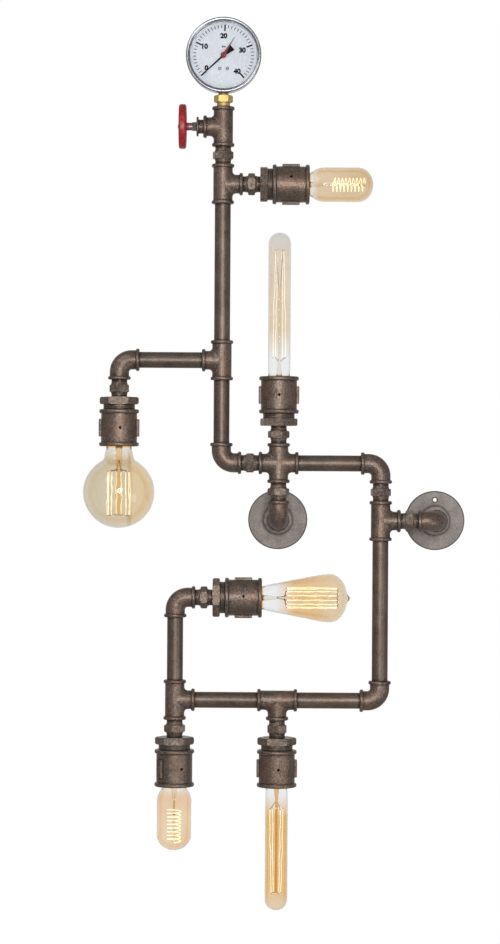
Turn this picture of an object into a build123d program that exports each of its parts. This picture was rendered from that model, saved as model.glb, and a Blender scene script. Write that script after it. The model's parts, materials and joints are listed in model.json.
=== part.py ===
"""Industrial pipe wall light: six bulbs, a dial gauge and a valve wheel on half-inch gas pipe.

Frame: X to the right, Z up, Y towards the wall. The origin is the centre of the left wall
rose's back face, so the wall is the plane Y = 0 and the pipework lies in one plane in front of it.
Lengths are millimetres, angles degrees.
"""

from build123d import *
import math
import os

# ------------------------------------------------------------------ pipe and fittings
pipe_od = 21.3
pipe_bore = 16.0
thread_od = 20.9
thread_clearance = 0.05       # radial, between a thread and its socket
thread_depth = 12.0           # how far a thread goes into a half-inch socket
socket_depth = 13.0
fitting_reach = 26.6          # from a fitting's centre to each of its faces
fitting_od = 25.8
branch_od = 25.0              # tee and cross branches, a little slimmer than the run
fitting_bore = 16.8
elbow_bend_radius = 16.5
crotch_round = 4.5
bead_od = 30.0
bead_width = 4.8
bead_round = 1.9

short_pipe_visible = 83.0
riser_visible = 181.3
drop_visible = 186.1

# ------------------------------------------------------------------ hexagon nipples
nipple_gap = 23.0             # what shows between two fitting faces
nipple_hex_af = 25.4
nipple_hex_thickness = 9.3
nipple_hex_chamfer = 1.3
nipple_collar_od = 23.0
nipple_collar_length = 3.4
nipple_bore = 15.0

# ------------------------------------------------------------------ wall roses
rose_od = 80.0
rose_plate = 4.5
rose_edge_round = 1.0
rose_height = 15.4
rose_hub_od = 39.0
rose_hub_round = 2.4
rose_screw_hole_od = 5.0
rose_screw_sink_od = 8.6
rose_screw_circle_radius = 28.0

# ------------------------------------------------------------------ lamp couplings
bush_hex_af = 45.0
bush_hex_thickness = 9.6
bush_hex_chamfer = 1.6
bush_thread_od = 41.9
bush_thread_visible = 6.7
bush_engagement = 14.0
coupling_length = 49.3
coupling_wall = 3.0
coupling_bead_height = 2.5    # how far a bead stands above the coupling's body
coupling_bead_width = 5.4
coupling_bead_round = 2.1
rib_length = 23.6
rib_width = 10.0
rib_height = 3.0              # how far a rib stands above the coupling's body
rib_round = 1.4
rib_root = 1.0                # how far a rib's foot reaches into the body
set_screw_od = 4.0
set_screw_recess = 0.9        # how far the screw's head lies below the surface
set_screw_socket_af = 2.0
set_screw_socket_depth = 1.8

# ------------------------------------------------------------------ E27 lampholders and caps
cap_od = 26.4
cap_shell_thickness = 0.5
cap_length = 23.0
cap_rim_inset = 1.2           # the cap's rim lies this far inside the coupling's face
cap_thread_pitch = 3.6
cap_thread_depth = 1.0
cap_contact_length = 3.1      # insulating cone and centre contact below the shell
cap_contact_od = 9.5
cap_cone_od = 20.0
holder_clearance = 0.3        # radial, around the screw cap
holder_shell_thickness = 0.5
holder_front_inset = 2.2      # the insulator's face lies this far inside the coupling
holder_fit = 0.1              # radial, insulator in its coupling
contact_gap = 0.3
holder_contact_od = 7.0
holder_contact_height = 1.6
holder_contact_stem_od = 3.0

# ------------------------------------------------------------------ bulbs
glass_wall = 0.8
glass_in_cap = 5.0
filament_wire = 0.5
support_wire = 0.7
filament_bend = 0.9
stem_flare_length = 1.5       # the stem's foot, sealed to the neck of the bulb
stem_od = 8.0
stem_tip_od = 3.4
stem_press = 20.0             # the pressed foot ends this far above the coupling's face
neck_rise = 0.6               # where the neck's flare ends, above the coupling's face
cage_first_angle = 10.0
globe_strands = 14
globe_cage_near = 14.5
globe_cage_far = 15.2
globe_cage_foot = 33.5        # from the coupling's face
globe_cage_rise = 31.0        # above the middle of the globe
teardrop_strands = 14
teardrop_cage_radius = 13.2
teardrop_cage_foot = 32.7
teardrop_cage_inset = 13.0    # below the end of the round part
slim_strands = 4
long_slim_cage_near = 9.5
long_slim_cage_far = 6.0
long_slim_cage_foot = 25.0
long_slim_cage_inset = 23.6   # below the tip of the tube
short_slim_cage_near = 9.8
short_slim_cage_far = 7.2
short_slim_cage_foot = 29.0
short_slim_cage_inset = 23.0
coil_radius = 9.0
coil_foot = 30.0
coil_inset = 10.8             # below the tip of the bulb
coil_turns = 7
coil_steps = 8

globe_od = 95.2
globe_centre = 61.0           # from the coupling's face to the middle of the globe
globe_neck_od = 33.4
globe_shoulder_od = 38.4
globe_neck_round = 9.0        # radius of the hollow curve between neck and globe

tubular_od = 46.0
tubular_length = 84.8         # visible, from the coupling's face to the tip
tubular_neck_od = 29.4
tubular_shoulder = 20.0       # where the full diameter begins
tubular_dome = 20.0

teardrop_od = 64.8
teardrop_neck_od = 30.6
teardrop_shoulder_od = 35.8
teardrop_shoulder_at = 9.3
teardrop_swell_od = 63.0
teardrop_swell_at = 79.0
teardrop_widest_at = 90.0
teardrop_length = 114.0       # to the end of the round part
teardrop_pip_length = 4.8
teardrop_pip_od = 11.0

slim_od = 30.4
slim_neck_od = 29.0
slim_shoulder = 22.0
slim_short_length = 164.0
slim_long_length = 191.6

# ------------------------------------------------------------------ gauge
gauge_od = 100.0
bezel_depth = 12.0
bezel_front = 20.0            # how far the bezel stands in front of the pipe plane
bezel_lip = 1.5
bezel_lip_width = 5.0
bezel_round = 1.4
case_back = 14.0              # how far the case reaches behind the pipe plane
case_wall = 1.2
case_back_round = 4.0
case_fit = 0.05
window_thickness = 2.0
dial_thickness = 0.8
dial_front = 10.8             # depth of the dial's face in front of the pipe plane
dial_clearance = 0.4
dial_hole_od = 6.0
pointer_front = 12.6
pointer_thickness = 0.6
pointer_length = 36.0
pointer_root_width = 2.6
pointer_tip_width = 1.2
pointer_tail_length = 15.5
pointer_tail_width = 9.0
pointer_hub_od = 6.0
pointer_zero_angle = -132.5   # clockwise from 12 o'clock
set_hand_front = 14.3
set_hand_thickness = 0.6
set_hand_length = 28.0
set_hand_root_width = 4.0
set_hand_shoulder = 17.0
set_hand_shoulder_width = 1.2
set_hand_hub_od = 7.7
set_hand_hub_height = 1.6
set_hand_angle = 31.0         # clockwise from 12 o'clock
arbor_od = 1.8
arbor_clearance = 0.05        # radial
set_hand_cover = 0.5          # metal in front of the arbor's end

plate_front_depth = 6.2
plate_thickness = 1.2
plate_back_depth = -2.2
plate_width = 38.0
plate_top = 9.0
plate_bottom = 29.0
plate_round = 4.0
foot_width = 12.0             # the lug that laps onto the stem's block
foot_height = 12.0
pillar_od = 3.2
pillar_inset = 3.5
dial_post_spread = 5.1
dial_post_drop = 17.4

gear_module = 0.5
pinion_teeth = 8
sector_teeth_full = 72
sector_teeth_cut = 10
gear_thickness = 2.0
gear_front = 3.5
gear_addendum = 0.8           # in modules
gear_dedendum = 1.25          # in modules
tooth_share = 0.4             # tooth width over pitch, which leaves backlash
sector_pivot_x = 9.0
sector_rim = 3.0
sector_tail_length = 7.0
sector_arm_width = 4.0

tube_radius = 37.0
tube_section = 3.0
tube_width = 8.0
tube_back = -6.0              # the tube's back edge lies behind the pipe plane
tube_wall = 0.5
tube_sweep = 236.0
tube_tip_length = 5.0
link_width = 2.0
link_thickness = 0.7
link_gap = 0.4

gauge_neck_od = 13.3
gauge_neck_visible = 2.1      # between the hexagon and the gauge's rim
gauge_hex_af = 22.0
gauge_hex_thickness = 9.2
gauge_hex_chamfer = 1.2
gauge_relief_od = 17.4
gauge_relief_length = 5.6
stem_block_width = 16.0
stem_block_height = 15.0
stem_block_front = 6.2
stem_block_back = 8.0
stem_bore = 5.0

# ------------------------------------------------------------------ valve
plug_shank_od = 18.6
plug_shank_visible = 6.2
plug_flange_od = 26.2
plug_flange_thickness = 2.8
plug_cavity_od = 11.0
plug_cavity_depth = 16.0
gland_af = 11.2
gland_hex_length = 5.6
gland_neck_od = 10.2
gland_neck_length = 4.2
gland_spigot_depth = 6.0
spindle_od = 6.0
spindle_clearance = 0.06      # radial
spindle_collar_od = 9.4
spindle_collar_length = 3.0
spindle_collar_play = 0.1
wheel_od = 59.4
wheel_rim_width = 10.0
wheel_rim_height = 7.6
wheel_rim_round = 3.0
wheel_lobes = 5
wheel_lobe_depth = 1.2
wheel_hub_od = 15.0
wheel_hub_boss_od = 10.6
wheel_hub_length = 10.0
wheel_boss_length = 3.0
wheel_spoke_width = 6.0
wheel_spoke_thickness = 4.0
wheel_offset = 8.6            # from the hub's tee-side face to the rim's middle plane
wheel_nut_af = 10.0
wheel_nut_thickness = 4.0
spindle_end_od = 5.0
spindle_end_proud = 1.0

# ------------------------------------------------------------------ wiring
trunk_cable_od = 7.0          # the bundle is thickest at the wall and thinner after each branch
loop_cable_od = 6.0
branch_cable_od = 5.0
cable_wall_inset = 9.0        # the cable stops this far inside the left rose

# ------------------------------------------------------------------ worked out from the above
nipple_pitch = 2 * fitting_reach + nipple_gap
short_pitch = 2 * fitting_reach + short_pipe_visible
riser_pitch = 2 * fitting_reach + riser_visible
drop_pitch = 2 * fitting_reach + drop_visible
pipe_depth = rose_height + nipple_gap + fitting_reach

left_x = -nipple_pitch
arm_x = left_x - short_pitch
bottom_left_x = -short_pitch
right_x = short_pitch
wall_right_x = right_x + nipple_pitch

cross_z = nipple_pitch
arm_z = cross_z + short_pitch
top_lamp_z = arm_z + riser_pitch
valve_z = top_lamp_z + nipple_pitch
bottom_z = -drop_pitch
teardrop_z = bottom_z + short_pitch
gauge_rise = gauge_relief_length + gauge_hex_thickness + gauge_neck_visible + gauge_od / 2
gauge_z = valve_z + fitting_reach + gauge_rise

RIGHT = Vector(1, 0, 0)
LEFT = Vector(-1, 0, 0)
UP = Vector(0, 0, 1)
DOWN = Vector(0, 0, -1)
FRONT = Vector(0, -1, 0)
WALL = Vector(0, 1, 0)

SMALL = 0.01


# ------------------------------------------------------------------ shared shapes
def place(x, z, direction, roll=0.0, y=None):
    """A frame at (x, z) in the pipe plane whose own Z runs along direction and whose X faces the room."""
    depth = -pipe_depth if y is None else y
    side = RIGHT if abs(direction.Y) > 0.5 else FRONT
    frame = Plane(origin=(x, depth, z), x_dir=side, z_dir=direction)
    return frame.location * Rot(0, 0, roll)


def rod(diameter, start, end):
    """A cylinder on the local Z axis from start to end."""
    return Pos(0, 0, start) * Cylinder(
        diameter / 2, end - start, align=(Align.CENTER, Align.CENTER, Align.MIN)
    )


def taper(diameter_start, diameter_end, start, end):
    """A cone frustum on the local Z axis from start to end."""
    return Pos(0, 0, start) * Cone(
        diameter_start / 2, diameter_end / 2, end - start, align=(Align.CENTER, Align.CENTER, Align.MIN)
    )


def block(x_size, y_size, z_size, x=0.0, y=0.0, z=0.0):
    """A box given by its sizes and its centre."""
    return Pos(x, y, z) * Box(x_size, y_size, z_size)


def bead(diameter, width, rounding, start):
    """The rounded ring that stiffens the mouth of a malleable fitting."""
    ring = rod(diameter, start, start + width)
    return fillet(ring.edges().filter_by(GeomType.CIRCLE), min(rounding, 0.45 * width))


def hexagon(across_flats, start, end, chamfer_size, roll=0.0):
    """A hexagon with its corners turned down at both ends."""
    corner_diameter = across_flats / math.cos(math.radians(30))
    prism = Rot(0, 0, roll) * extrude(
        RegularPolygon(corner_diameter / 2, 6), end - start
    )
    prism = Pos(0, 0, start) * prism
    turned = rod(corner_diameter, start, end)
    turned = chamfer(turned.edges().filter_by(GeomType.CIRCLE), chamfer_size)
    return prism & turned


def round_wire(points, bend_radius, thickness):
    """A round wire along straight runs joined by tangent arcs."""
    path = FilletPolyline(*points, radius=bend_radius)
    start = Plane(origin=path @ 0, z_dir=path % 0)
    return sweep(start * Circle(thickness / 2), path)


def write(shape, name):
    """Write one node."""
    shape.label = name
    export_step(shape, os.path.join("parts", name + ".step"))


# ------------------------------------------------------------------ half-inch fittings
def port_bead():
    return bead(bead_od, bead_width, bead_round, fitting_reach - bead_width)


def port_socket():
    """The socket that takes a half-inch thread, cut out of one face."""
    return rod(thread_od + 2 * thread_clearance, fitting_reach - socket_depth, fitting_reach + 1)


def port_cut():
    """The socket and the way through, from a fitting's centre out of one face."""
    return port_socket() + rod(fitting_bore, 0, fitting_reach)


def branched_fitting(x, z, run, branch, is_cross=False):
    """A tee, or a cross with a second branch opposite the first, with rounded crotches."""
    across = Rot(0, 90, 0)
    branches = [across, Rot(0, -90, 0)] if is_cross else [across]
    body = Cylinder(fitting_od / 2, 2 * fitting_reach)
    for turn in branches:
        body += turn * rod(branch_od, 0, fitting_reach)
    crotch = body.edges().filter_by(lambda edge: edge.geom_type not in (GeomType.CIRCLE, GeomType.LINE))
    body = fillet(crotch, crotch_round)
    ports = [Rot(0, 0, 0), Rot(0, 180, 0)] + branches
    for turn in ports:
        body += turn * port_bead()
    for turn in ports:
        body -= turn * port_cut()
    body -= Sphere(fitting_bore / 2)
    return Plane(origin=(x, -pipe_depth, z), x_dir=branch, z_dir=run).location * body


def elbow(x, z, first, second):
    """A ninety degree elbow whose two mouths face first and second."""
    bend = elbow_bend_radius
    middle = bend * (1 - math.sqrt(0.5))
    path = Wire(
        [
            Line((fitting_reach, 0, 0), (bend, 0, 0)),
            ThreePointArc((bend, 0, 0), (middle, 0, middle), (0, 0, bend)),
            Line((0, 0, bend), (0, 0, fitting_reach)),
        ]
    )
    start = Plane(origin=(fitting_reach, 0, 0), z_dir=(-1, 0, 0))
    ports = [Rot(0, 90, 0), Rot(0, 0, 0)]
    body = sweep(start * Circle(fitting_od / 2), path)
    for turn in ports:
        body += turn * port_bead()
    body -= sweep(start * Circle(fitting_bore / 2), path)
    for turn in ports:
        body -= turn * port_socket()
    return Plane(origin=(x, -pipe_depth, z), x_dir=first, z_dir=second).location * body


def pipe(x, z, direction, visible):
    """A pipe that starts at a fitting's face and shows for its visible length."""
    body = rod(pipe_od, 0, visible) + rod(thread_od, -thread_depth, visible + thread_depth)
    body -= rod(pipe_bore, -thread_depth - 1, visible + thread_depth + 1)
    return place(x, z, direction) * body


def hex_nipple(roll=0.0):
    """A hexagon nipple whose hexagon is centred in the gap that starts at local Z = 0."""
    middle = nipple_gap / 2
    hex_start = middle - nipple_hex_thickness / 2
    hex_end = middle + nipple_hex_thickness / 2
    body = rod(thread_od, -thread_depth, nipple_gap + thread_depth)
    body += hexagon(nipple_hex_af, hex_start, hex_end, nipple_hex_chamfer, roll)
    body += taper(thread_od, nipple_collar_od, hex_start - nipple_collar_length, hex_start)
    body += taper(nipple_collar_od, thread_od, hex_end, hex_end + nipple_collar_length)
    return body - rod(nipple_bore, -thread_depth - 1, nipple_gap + thread_depth + 1)


def wall_rose(x):
    """A round floor flange with its hub and one fixing-screw hole at 12 o'clock."""
    plate = rod(rose_od, 0, rose_plate)
    plate = fillet(plate.edges().group_by(Axis.Z)[-1], rose_edge_round)
    hub = rod(rose_hub_od, 0, rose_height)
    hub = fillet(hub.edges().group_by(Axis.Z)[-1], rose_hub_round)
    body = plate + hub
    body -= rod(thread_od + 2 * thread_clearance, -1, rose_height + 1)
    sink_depth = (rose_screw_sink_od - rose_screw_hole_od) / 2
    screw_way = rod(rose_screw_hole_od, -1, rose_plate + 1)
    screw_way += taper(rose_screw_hole_od, rose_screw_sink_od, rose_plate - sink_depth, rose_plate)
    body -= Pos(0, rose_screw_circle_radius, 0) * screw_way
    return place(x, 0, FRONT, y=0.0) * body


# ------------------------------------------------------------------ lamp positions along their own axis
bush_start = nipple_gap
bush_hex_end = bush_start + bush_hex_thickness
coupling_start = bush_hex_end + bush_thread_visible
coupling_face = coupling_start + coupling_length
bush_end = coupling_start + bush_engagement
holder_front = coupling_face - holder_front_inset
coupling_bore = bush_thread_od + 2 * thread_clearance
coupling_od = coupling_bore + 2 * coupling_wall
coupling_bead_od = coupling_od + 2 * coupling_bead_height
insulator_od = coupling_bore - 2 * holder_fit
holder_shell_id = cap_od + 2 * holder_clearance
holder_shell_od = holder_shell_id + 2 * holder_shell_thickness
cap_rim = coupling_face - cap_rim_inset
cap_bottom = cap_rim - cap_length
cap_contact = cap_bottom - cap_contact_length
holder_contact_top = cap_contact - contact_gap
insulator_floor = holder_contact_top - holder_contact_height
cap_inner_radius = cap_od / 2 - cap_thread_depth - cap_shell_thickness


def reducing_bush(roll):
    """A hexagon bush that takes the nipple in its head and screws into the coupling."""
    body = hexagon(bush_hex_af, bush_start, bush_hex_end, bush_hex_chamfer, roll)
    body += rod(bush_thread_od, bush_hex_end - SMALL, bush_end)
    body -= rod(thread_od + 2 * thread_clearance, bush_start - 1, bush_start + socket_depth)
    return body - rod(fitting_bore, bush_start, bush_end + 1)


def lamp_coupling(rib_roll, hole_roll):
    """A straight beaded socket with two long ribs and a tapped hole for the set screw."""
    body = rod(coupling_od, coupling_start, coupling_face)
    body += bead(coupling_bead_od, coupling_bead_width, coupling_bead_round, coupling_start)
    body += bead(
        coupling_bead_od, coupling_bead_width, coupling_bead_round, coupling_face - coupling_bead_width
    )
    middle = (coupling_start + coupling_face) / 2
    rib_span = coupling_od / 2 + rib_height
    for side in (-1, 1):
        rib_foot = coupling_od / 2 - rib_root
        rib_box = block(
            rib_width,
            rib_span - rib_foot,
            rib_length,
            y=side * (rib_span + rib_foot) / 2,
            z=middle,
        )
        rib_box = fillet(rib_box.faces().sort_by(Axis.Y)[-1 if side > 0 else 0].edges(), rib_round)
        body += Rot(0, 0, rib_roll) * rib_box
    body -= rod(coupling_bore, coupling_start - 1, coupling_face + 1)
    hole = Pos(0, 0, middle) * Rot(0, 90, 0) * rod(set_screw_od, 0, coupling_od)
    return body - Rot(0, 0, hole_roll) * hole


def set_screw():
    """A headless screw in the coupling's front hole, its point on the insulator."""
    middle = (coupling_start + coupling_face) / 2
    inner = insulator_od / 2
    outer = coupling_od / 2 - set_screw_recess
    body = rod(set_screw_od, inner + SMALL, outer)
    corner_radius = set_screw_socket_af / 2 / math.cos(math.radians(30))
    socket = extrude(RegularPolygon(corner_radius, 6), set_screw_socket_depth)
    body -= Pos(0, 0, outer - set_screw_socket_depth) * socket
    return Pos(0, 0, middle) * Rot(0, 90, 0) * body


def holder_insulator():
    """The lampholder's ceramic body, which stands on the bush and fills the coupling."""
    body = rod(insulator_od, bush_end, holder_front)
    body = fillet(body.edges().group_by(Axis.Z)[-1], 1.2)
    body -= rod(holder_shell_od, insulator_floor, holder_front + 1)
    body -= rod(holder_contact_stem_od, bush_end - 1, insulator_floor + 1)
    return body


def holder_shell():
    """The lampholder's brass screw shell."""
    body = rod(holder_shell_od, insulator_floor, holder_front - 1.0)
    return body - rod(holder_shell_id, insulator_floor - 1, holder_front + 1)


def holder_contact():
    """The sprung centre contact on its rivet through the insulator's floor."""
    body = rod(holder_contact_od, insulator_floor, holder_contact_top)
    return body + rod(holder_contact_stem_od, bush_end, insulator_floor)


def bulb_cap():
    """The screw cap: a rolled shell, the insulating cone and the centre contact."""
    crest = cap_od / 2
    root = crest - cap_thread_depth
    turns = int((cap_length - 2 * cap_thread_pitch) / cap_thread_pitch)
    outline = [(cap_cone_od / 2, cap_bottom), (root, cap_bottom + 1.2)]
    for turn in range(turns):
        base = cap_bottom + 1.2 + (turn + 0.5) * cap_thread_pitch
        outline.append((crest, base))
        outline.append((root, base + cap_thread_pitch / 2))
    outline += [
        (crest, cap_rim - 1.6),
        (crest, cap_rim),
        (cap_inner_radius, cap_rim),
        (cap_inner_radius, cap_bottom + 1.2),
        (cap_cone_od / 2 - 1.0, cap_bottom + 0.5),
        (0, cap_bottom + 0.5),
        (0, cap_bottom),
    ]
    body = revolve(Plane.XZ * make_face(Polyline(*outline, close=True)), Axis.Z)
    body += taper(cap_contact_od, cap_cone_od, cap_contact + 0.8, cap_bottom)
    return body + rod(cap_contact_od - 1.0, cap_contact, cap_contact + 0.8)


# ------------------------------------------------------------------ bulb glass
glass_foot = cap_rim - glass_in_cap


def envelope(outline):
    """A blown envelope of even wall, open at the neck, from an outline drawn at two insets."""
    outer = outline(0.0)
    inner = outline(glass_wall)
    tip = Line(outer[-1] @ 1, inner[-1] @ 1)
    foot = Line(inner[0] @ 0, outer[0] @ 0)
    face = make_face(outer + [tip] + inner + [foot])
    return revolve(Plane.XZ * face, Axis.Z)


def neck_outline(neck_od, inset):
    """The straight foot in the cap and the flare up to the coupling's face."""
    foot_radius = cap_inner_radius - inset
    neck_radius = neck_od / 2 - inset
    return [
        Line((foot_radius, glass_foot), (foot_radius, cap_rim)),
        Line((foot_radius, cap_rim), (neck_radius, coupling_face + neck_rise)),
    ]


def globe_outline(inset):
    """A neck that runs through a hollow curve into a sphere."""
    radius = globe_od / 2 - inset
    shoulder = globe_shoulder_od / 2 - inset
    round_radius = globe_neck_round + inset
    centre = coupling_face + globe_centre
    reach = radius + round_radius
    drop = math.sqrt(reach**2 - (shoulder + round_radius) ** 2)
    curve_z = centre - drop
    meet = radius / reach
    meet_point = ((shoulder + round_radius) * meet, centre - drop * meet)
    half_turn = math.atan2(drop, shoulder + round_radius) / 2
    middle = (
        shoulder + round_radius - round_radius * math.cos(half_turn),
        curve_z + round_radius * math.sin(half_turn),
    )
    edges = neck_outline(globe_neck_od, inset)
    edges.append(Line(edges[-1] @ 1, (shoulder, curve_z)))
    edges.append(ThreePointArc((shoulder, curve_z), middle, meet_point))
    edges.append(ThreePointArc(meet_point, (radius, centre), (0, centre + radius)))
    return edges


def dome(radius, base, height):
    """A quarter ellipse from the wall of a bulb to its tip."""
    return Bezier(
        (radius, base), (radius, base + height), (0, base + height), weights=[1, math.sqrt(0.5), 1]
    )


def tubular_outline(inset):
    """A short fat tube: a shoulder arc that ends upright, a straight wall and a dome."""
    edges = neck_outline(tubular_neck_od, inset)
    start = edges[-1] @ 1
    radius = tubular_od / 2 - inset
    full = coupling_face + tubular_shoulder
    step = radius - start.X
    rise = full - start.Y
    arc_radius = (step**2 + rise**2) / (2 * step)
    half_turn = math.asin(rise / arc_radius) / 2
    middle = (
        radius - arc_radius + arc_radius * math.cos(half_turn),
        full - arc_radius * math.sin(half_turn),
    )
    base = coupling_face + tubular_length - tubular_dome
    edges.append(ThreePointArc(start, middle, (radius, full)))
    edges.append(Line((radius, full), (radius, base)))
    edges.append(dome(radius, base, tubular_dome - inset))
    return edges


def teardrop_outline(inset):
    """A long cone that swells into a blunt end."""
    edges = neck_outline(teardrop_neck_od, inset)
    start = edges[-1] @ 1
    radius = teardrop_od / 2 - inset
    widest = coupling_face + teardrop_widest_at
    shoulder = (teardrop_shoulder_od / 2 - inset, coupling_face + teardrop_shoulder_at)
    cone_top = (teardrop_swell_od / 2 - inset, coupling_face + teardrop_swell_at)
    step = radius - cone_top[0]
    rise = widest - cone_top[1]
    arc_radius = (step**2 + rise**2) / (2 * step)
    half_turn = math.asin(rise / arc_radius) / 2
    middle = (
        radius - arc_radius + arc_radius * math.cos(half_turn),
        widest - arc_radius * math.sin(half_turn),
    )
    edges.append(Line(start, shoulder))
    edges.append(Line(shoulder, cone_top))
    edges.append(ThreePointArc(cone_top, middle, (radius, widest)))
    edges.append(dome(radius, widest, teardrop_length - teardrop_widest_at - inset))
    return edges


def teardrop_pip():
    """The seal left at the tip where the bulb was pumped out."""
    seat = coupling_face + teardrop_length - glass_wall
    tip = coupling_face + teardrop_length + teardrop_pip_length
    cone = taper(teardrop_pip_od, teardrop_pip_od / 3, seat + 0.1, tip)
    return fillet(cone.edges().group_by(Axis.Z)[-1], teardrop_pip_od / 8)


def slim_outline(length):
    """The outline of a long thin tube with a round end, for the given visible length."""

    def outline(inset):
        edges = neck_outline(slim_neck_od, inset)
        radius = slim_od / 2 - inset
        base = coupling_face + length - slim_od / 2
        edges.append(Line(edges[-1] @ 1, (radius, coupling_face + slim_shoulder)))
        edges.append(Line((radius, coupling_face + slim_shoulder), (radius, base)))
        edges.append(dome(radius, base, radius))
        return edges

    return outline


# ------------------------------------------------------------------ bulb stems and filaments
def on_ring(radius, angle, height):
    """A point on a ring around a bulb's axis, height measured from the coupling's face."""
    turn = math.radians(angle)
    return (radius * math.cos(turn), radius * math.sin(turn), coupling_face + height)


def straight_wire(start, end, thickness):
    """A straight wire between two points."""
    run = Vector(*end) - Vector(*start)
    return Plane(origin=start, z_dir=run) * rod(thickness, 0, run.length)


def glass_stem(height):
    """The pressed glass stem and the thin rod that carries the supports."""
    flare_od = 2 * (cap_inner_radius - glass_wall)
    press = rod(flare_od, glass_foot, glass_foot + stem_flare_length)
    press += taper(flare_od, stem_od, glass_foot + stem_flare_length, coupling_face)
    press += taper(stem_od, stem_tip_od, coupling_face, coupling_face + stem_press)
    return press + rod(stem_tip_od, coupling_face + stem_press - SMALL, coupling_face + height)


def cage_points(near_radius, far_radius, near, far, strands):
    """Corners of a wire that runs to and fro between two rings, ending where it began."""
    points = []
    for strand in range(strands):
        angle = cage_first_angle + 360.0 * strand / strands
        ends = [on_ring(near_radius, angle, near), on_ring(far_radius, angle, far)]
        if strand % 2:
            ends.reverse()
        points += ends
    return points


def cage_filament(near_radius, far_radius, near, far, strands):
    """A squirrel-cage filament on a glass stem, with its support wires and lead-in wires."""
    points = cage_points(near_radius, far_radius, near, far, strands)
    parts = [round_wire(points, filament_bend, filament_wire)]
    stem = glass_stem(far)
    supports = []
    for strand in range(0, strands, 2):
        angle = cage_first_angle + 360.0 * (strand + 0.5) / strands
        reach = far_radius * math.cos(math.pi / strands)
        supports.append(straight_wire(on_ring(0, 0, far - 1), on_ring(reach, angle, far), support_wire))
    for strand in range(1, strands - 1, 2):
        angle = cage_first_angle + 360.0 * (strand + 0.5) / strands
        reach = near_radius * math.cos(math.pi / strands)
        supports.append(straight_wire(on_ring(0, 0, near - 3), on_ring(reach, angle, near), support_wire))
    leads = [
        straight_wire(on_ring(stem_tip_od / 2, cage_first_angle, stem_press), points[0], support_wire),
        straight_wire(on_ring(stem_tip_od / 2, cage_first_angle + 180, stem_press), points[-1], support_wire),
    ]
    return stem.fuse(*parts, *supports, *leads)


def coil_filament(radius, near, far, turns):
    """A loosely wound filament around the stem's rod, with its support and lead-in wires."""
    steps = turns * coil_steps
    points = []
    for step in range(steps + 1):
        height = near + (far - near) * step / steps
        points.append(on_ring(radius, 360.0 * step / coil_steps, height))
    run = 2 * radius * math.sin(math.pi / coil_steps)
    bend = 0.45 * run / math.tan(math.pi / coil_steps)
    coil = round_wire(points, bend, filament_wire)
    stem = glass_stem(far)
    supports = []
    for turn in range(1, turns, 2):
        height = near + (far - near) * (turn + 0.5) / turns
        end = on_ring(radius - filament_wire, 180, height)
        supports.append(straight_wire(on_ring(0, 0, height), end, support_wire))
    leads = [
        straight_wire(on_ring(0, 0, stem_press), points[0], support_wire),
        straight_wire(on_ring(0, 0, far - 1), points[-1], support_wire),
    ]
    return stem.fuse(coil, *supports, *leads)


# ------------------------------------------------------------------ gauge, drawn about its dial's centre
# Local X is to the right, local Y is up and local Z comes out of the dial towards the room.
dial_frame = Plane(
    origin=(left_x, -pipe_depth, gauge_z), x_dir=(1, 0, 0), z_dir=(0, -1, 0)
).location

window_seat = bezel_front - bezel_lip
case_front = window_seat - window_thickness - case_fit
case_od = gauge_od - 2 * case_wall - 2 * case_fit
case_id = case_od - 2 * case_wall
window_od = gauge_od - 2 * case_wall - 2 * case_fit
pinion_pitch_radius = gear_module * pinion_teeth / 2
sector_pitch_radius = gear_module * sector_teeth_full / 2
gear_centres = pinion_pitch_radius + sector_pitch_radius
sector_pivot = (sector_pivot_x, -math.sqrt(gear_centres**2 - sector_pivot_x**2))
mesh_angle = math.degrees(math.atan2(-sector_pivot[1], -sector_pivot[0]))
sector_pitch_angle = 360.0 / sector_teeth_full
sector_first_tooth = mesh_angle - sector_pitch_angle * (sector_teeth_cut - 2)
sector_start = sector_first_tooth - sector_pitch_angle
sector_span = sector_pitch_angle * (sector_teeth_cut + 1)
sector_arm_angle = sector_start + sector_span / 2
tail_turn = math.radians(sector_arm_angle + 180)
tail_end = (
    (sector_tail_length - 1.5) * math.cos(tail_turn),
    (sector_tail_length - 1.5) * math.sin(tail_turn),
)


def gauge_case():
    """The pressed cup behind the bezel, with a hole for the stem."""
    body = rod(case_od, -case_back, case_front)
    body = fillet(body.edges().group_by(Axis.Z)[0], case_back_round)
    hollow = rod(case_id, case_wall - case_back, case_front + 1)
    hollow = fillet(hollow.edges().group_by(Axis.Z)[0], case_back_round - case_wall)
    stem_way = Rot(90, 0, 0) * rod(gauge_neck_od + 2 * case_fit, 0, gauge_od)
    return body - hollow - stem_way


def gauge_bezel():
    """The ring that holds the window on the case."""
    body = rod(gauge_od, bezel_front - bezel_depth, bezel_front)
    body = fillet(body.edges().group_by(Axis.Z)[-1], bezel_round)
    body -= rod(case_od + 2 * case_fit, bezel_front - bezel_depth - 1, window_seat)
    return body - rod(gauge_od - 2 * bezel_lip_width, window_seat - 1, bezel_front + 1)


def gauge_window():
    return rod(window_od, window_seat - window_thickness, window_seat)


def gauge_dial():
    """The white dial plate with its hole for the arbor."""
    body = rod(case_id - 2 * dial_clearance, dial_front - dial_thickness, dial_front)
    return body - rod(dial_hole_od, dial_front - dial_thickness - 1, dial_front + 1)


tube_start = -90.0 - math.degrees(math.asin((stem_block_width / 2 - 1) / tube_radius))
tube_middle = tube_back + tube_width / 2


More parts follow.
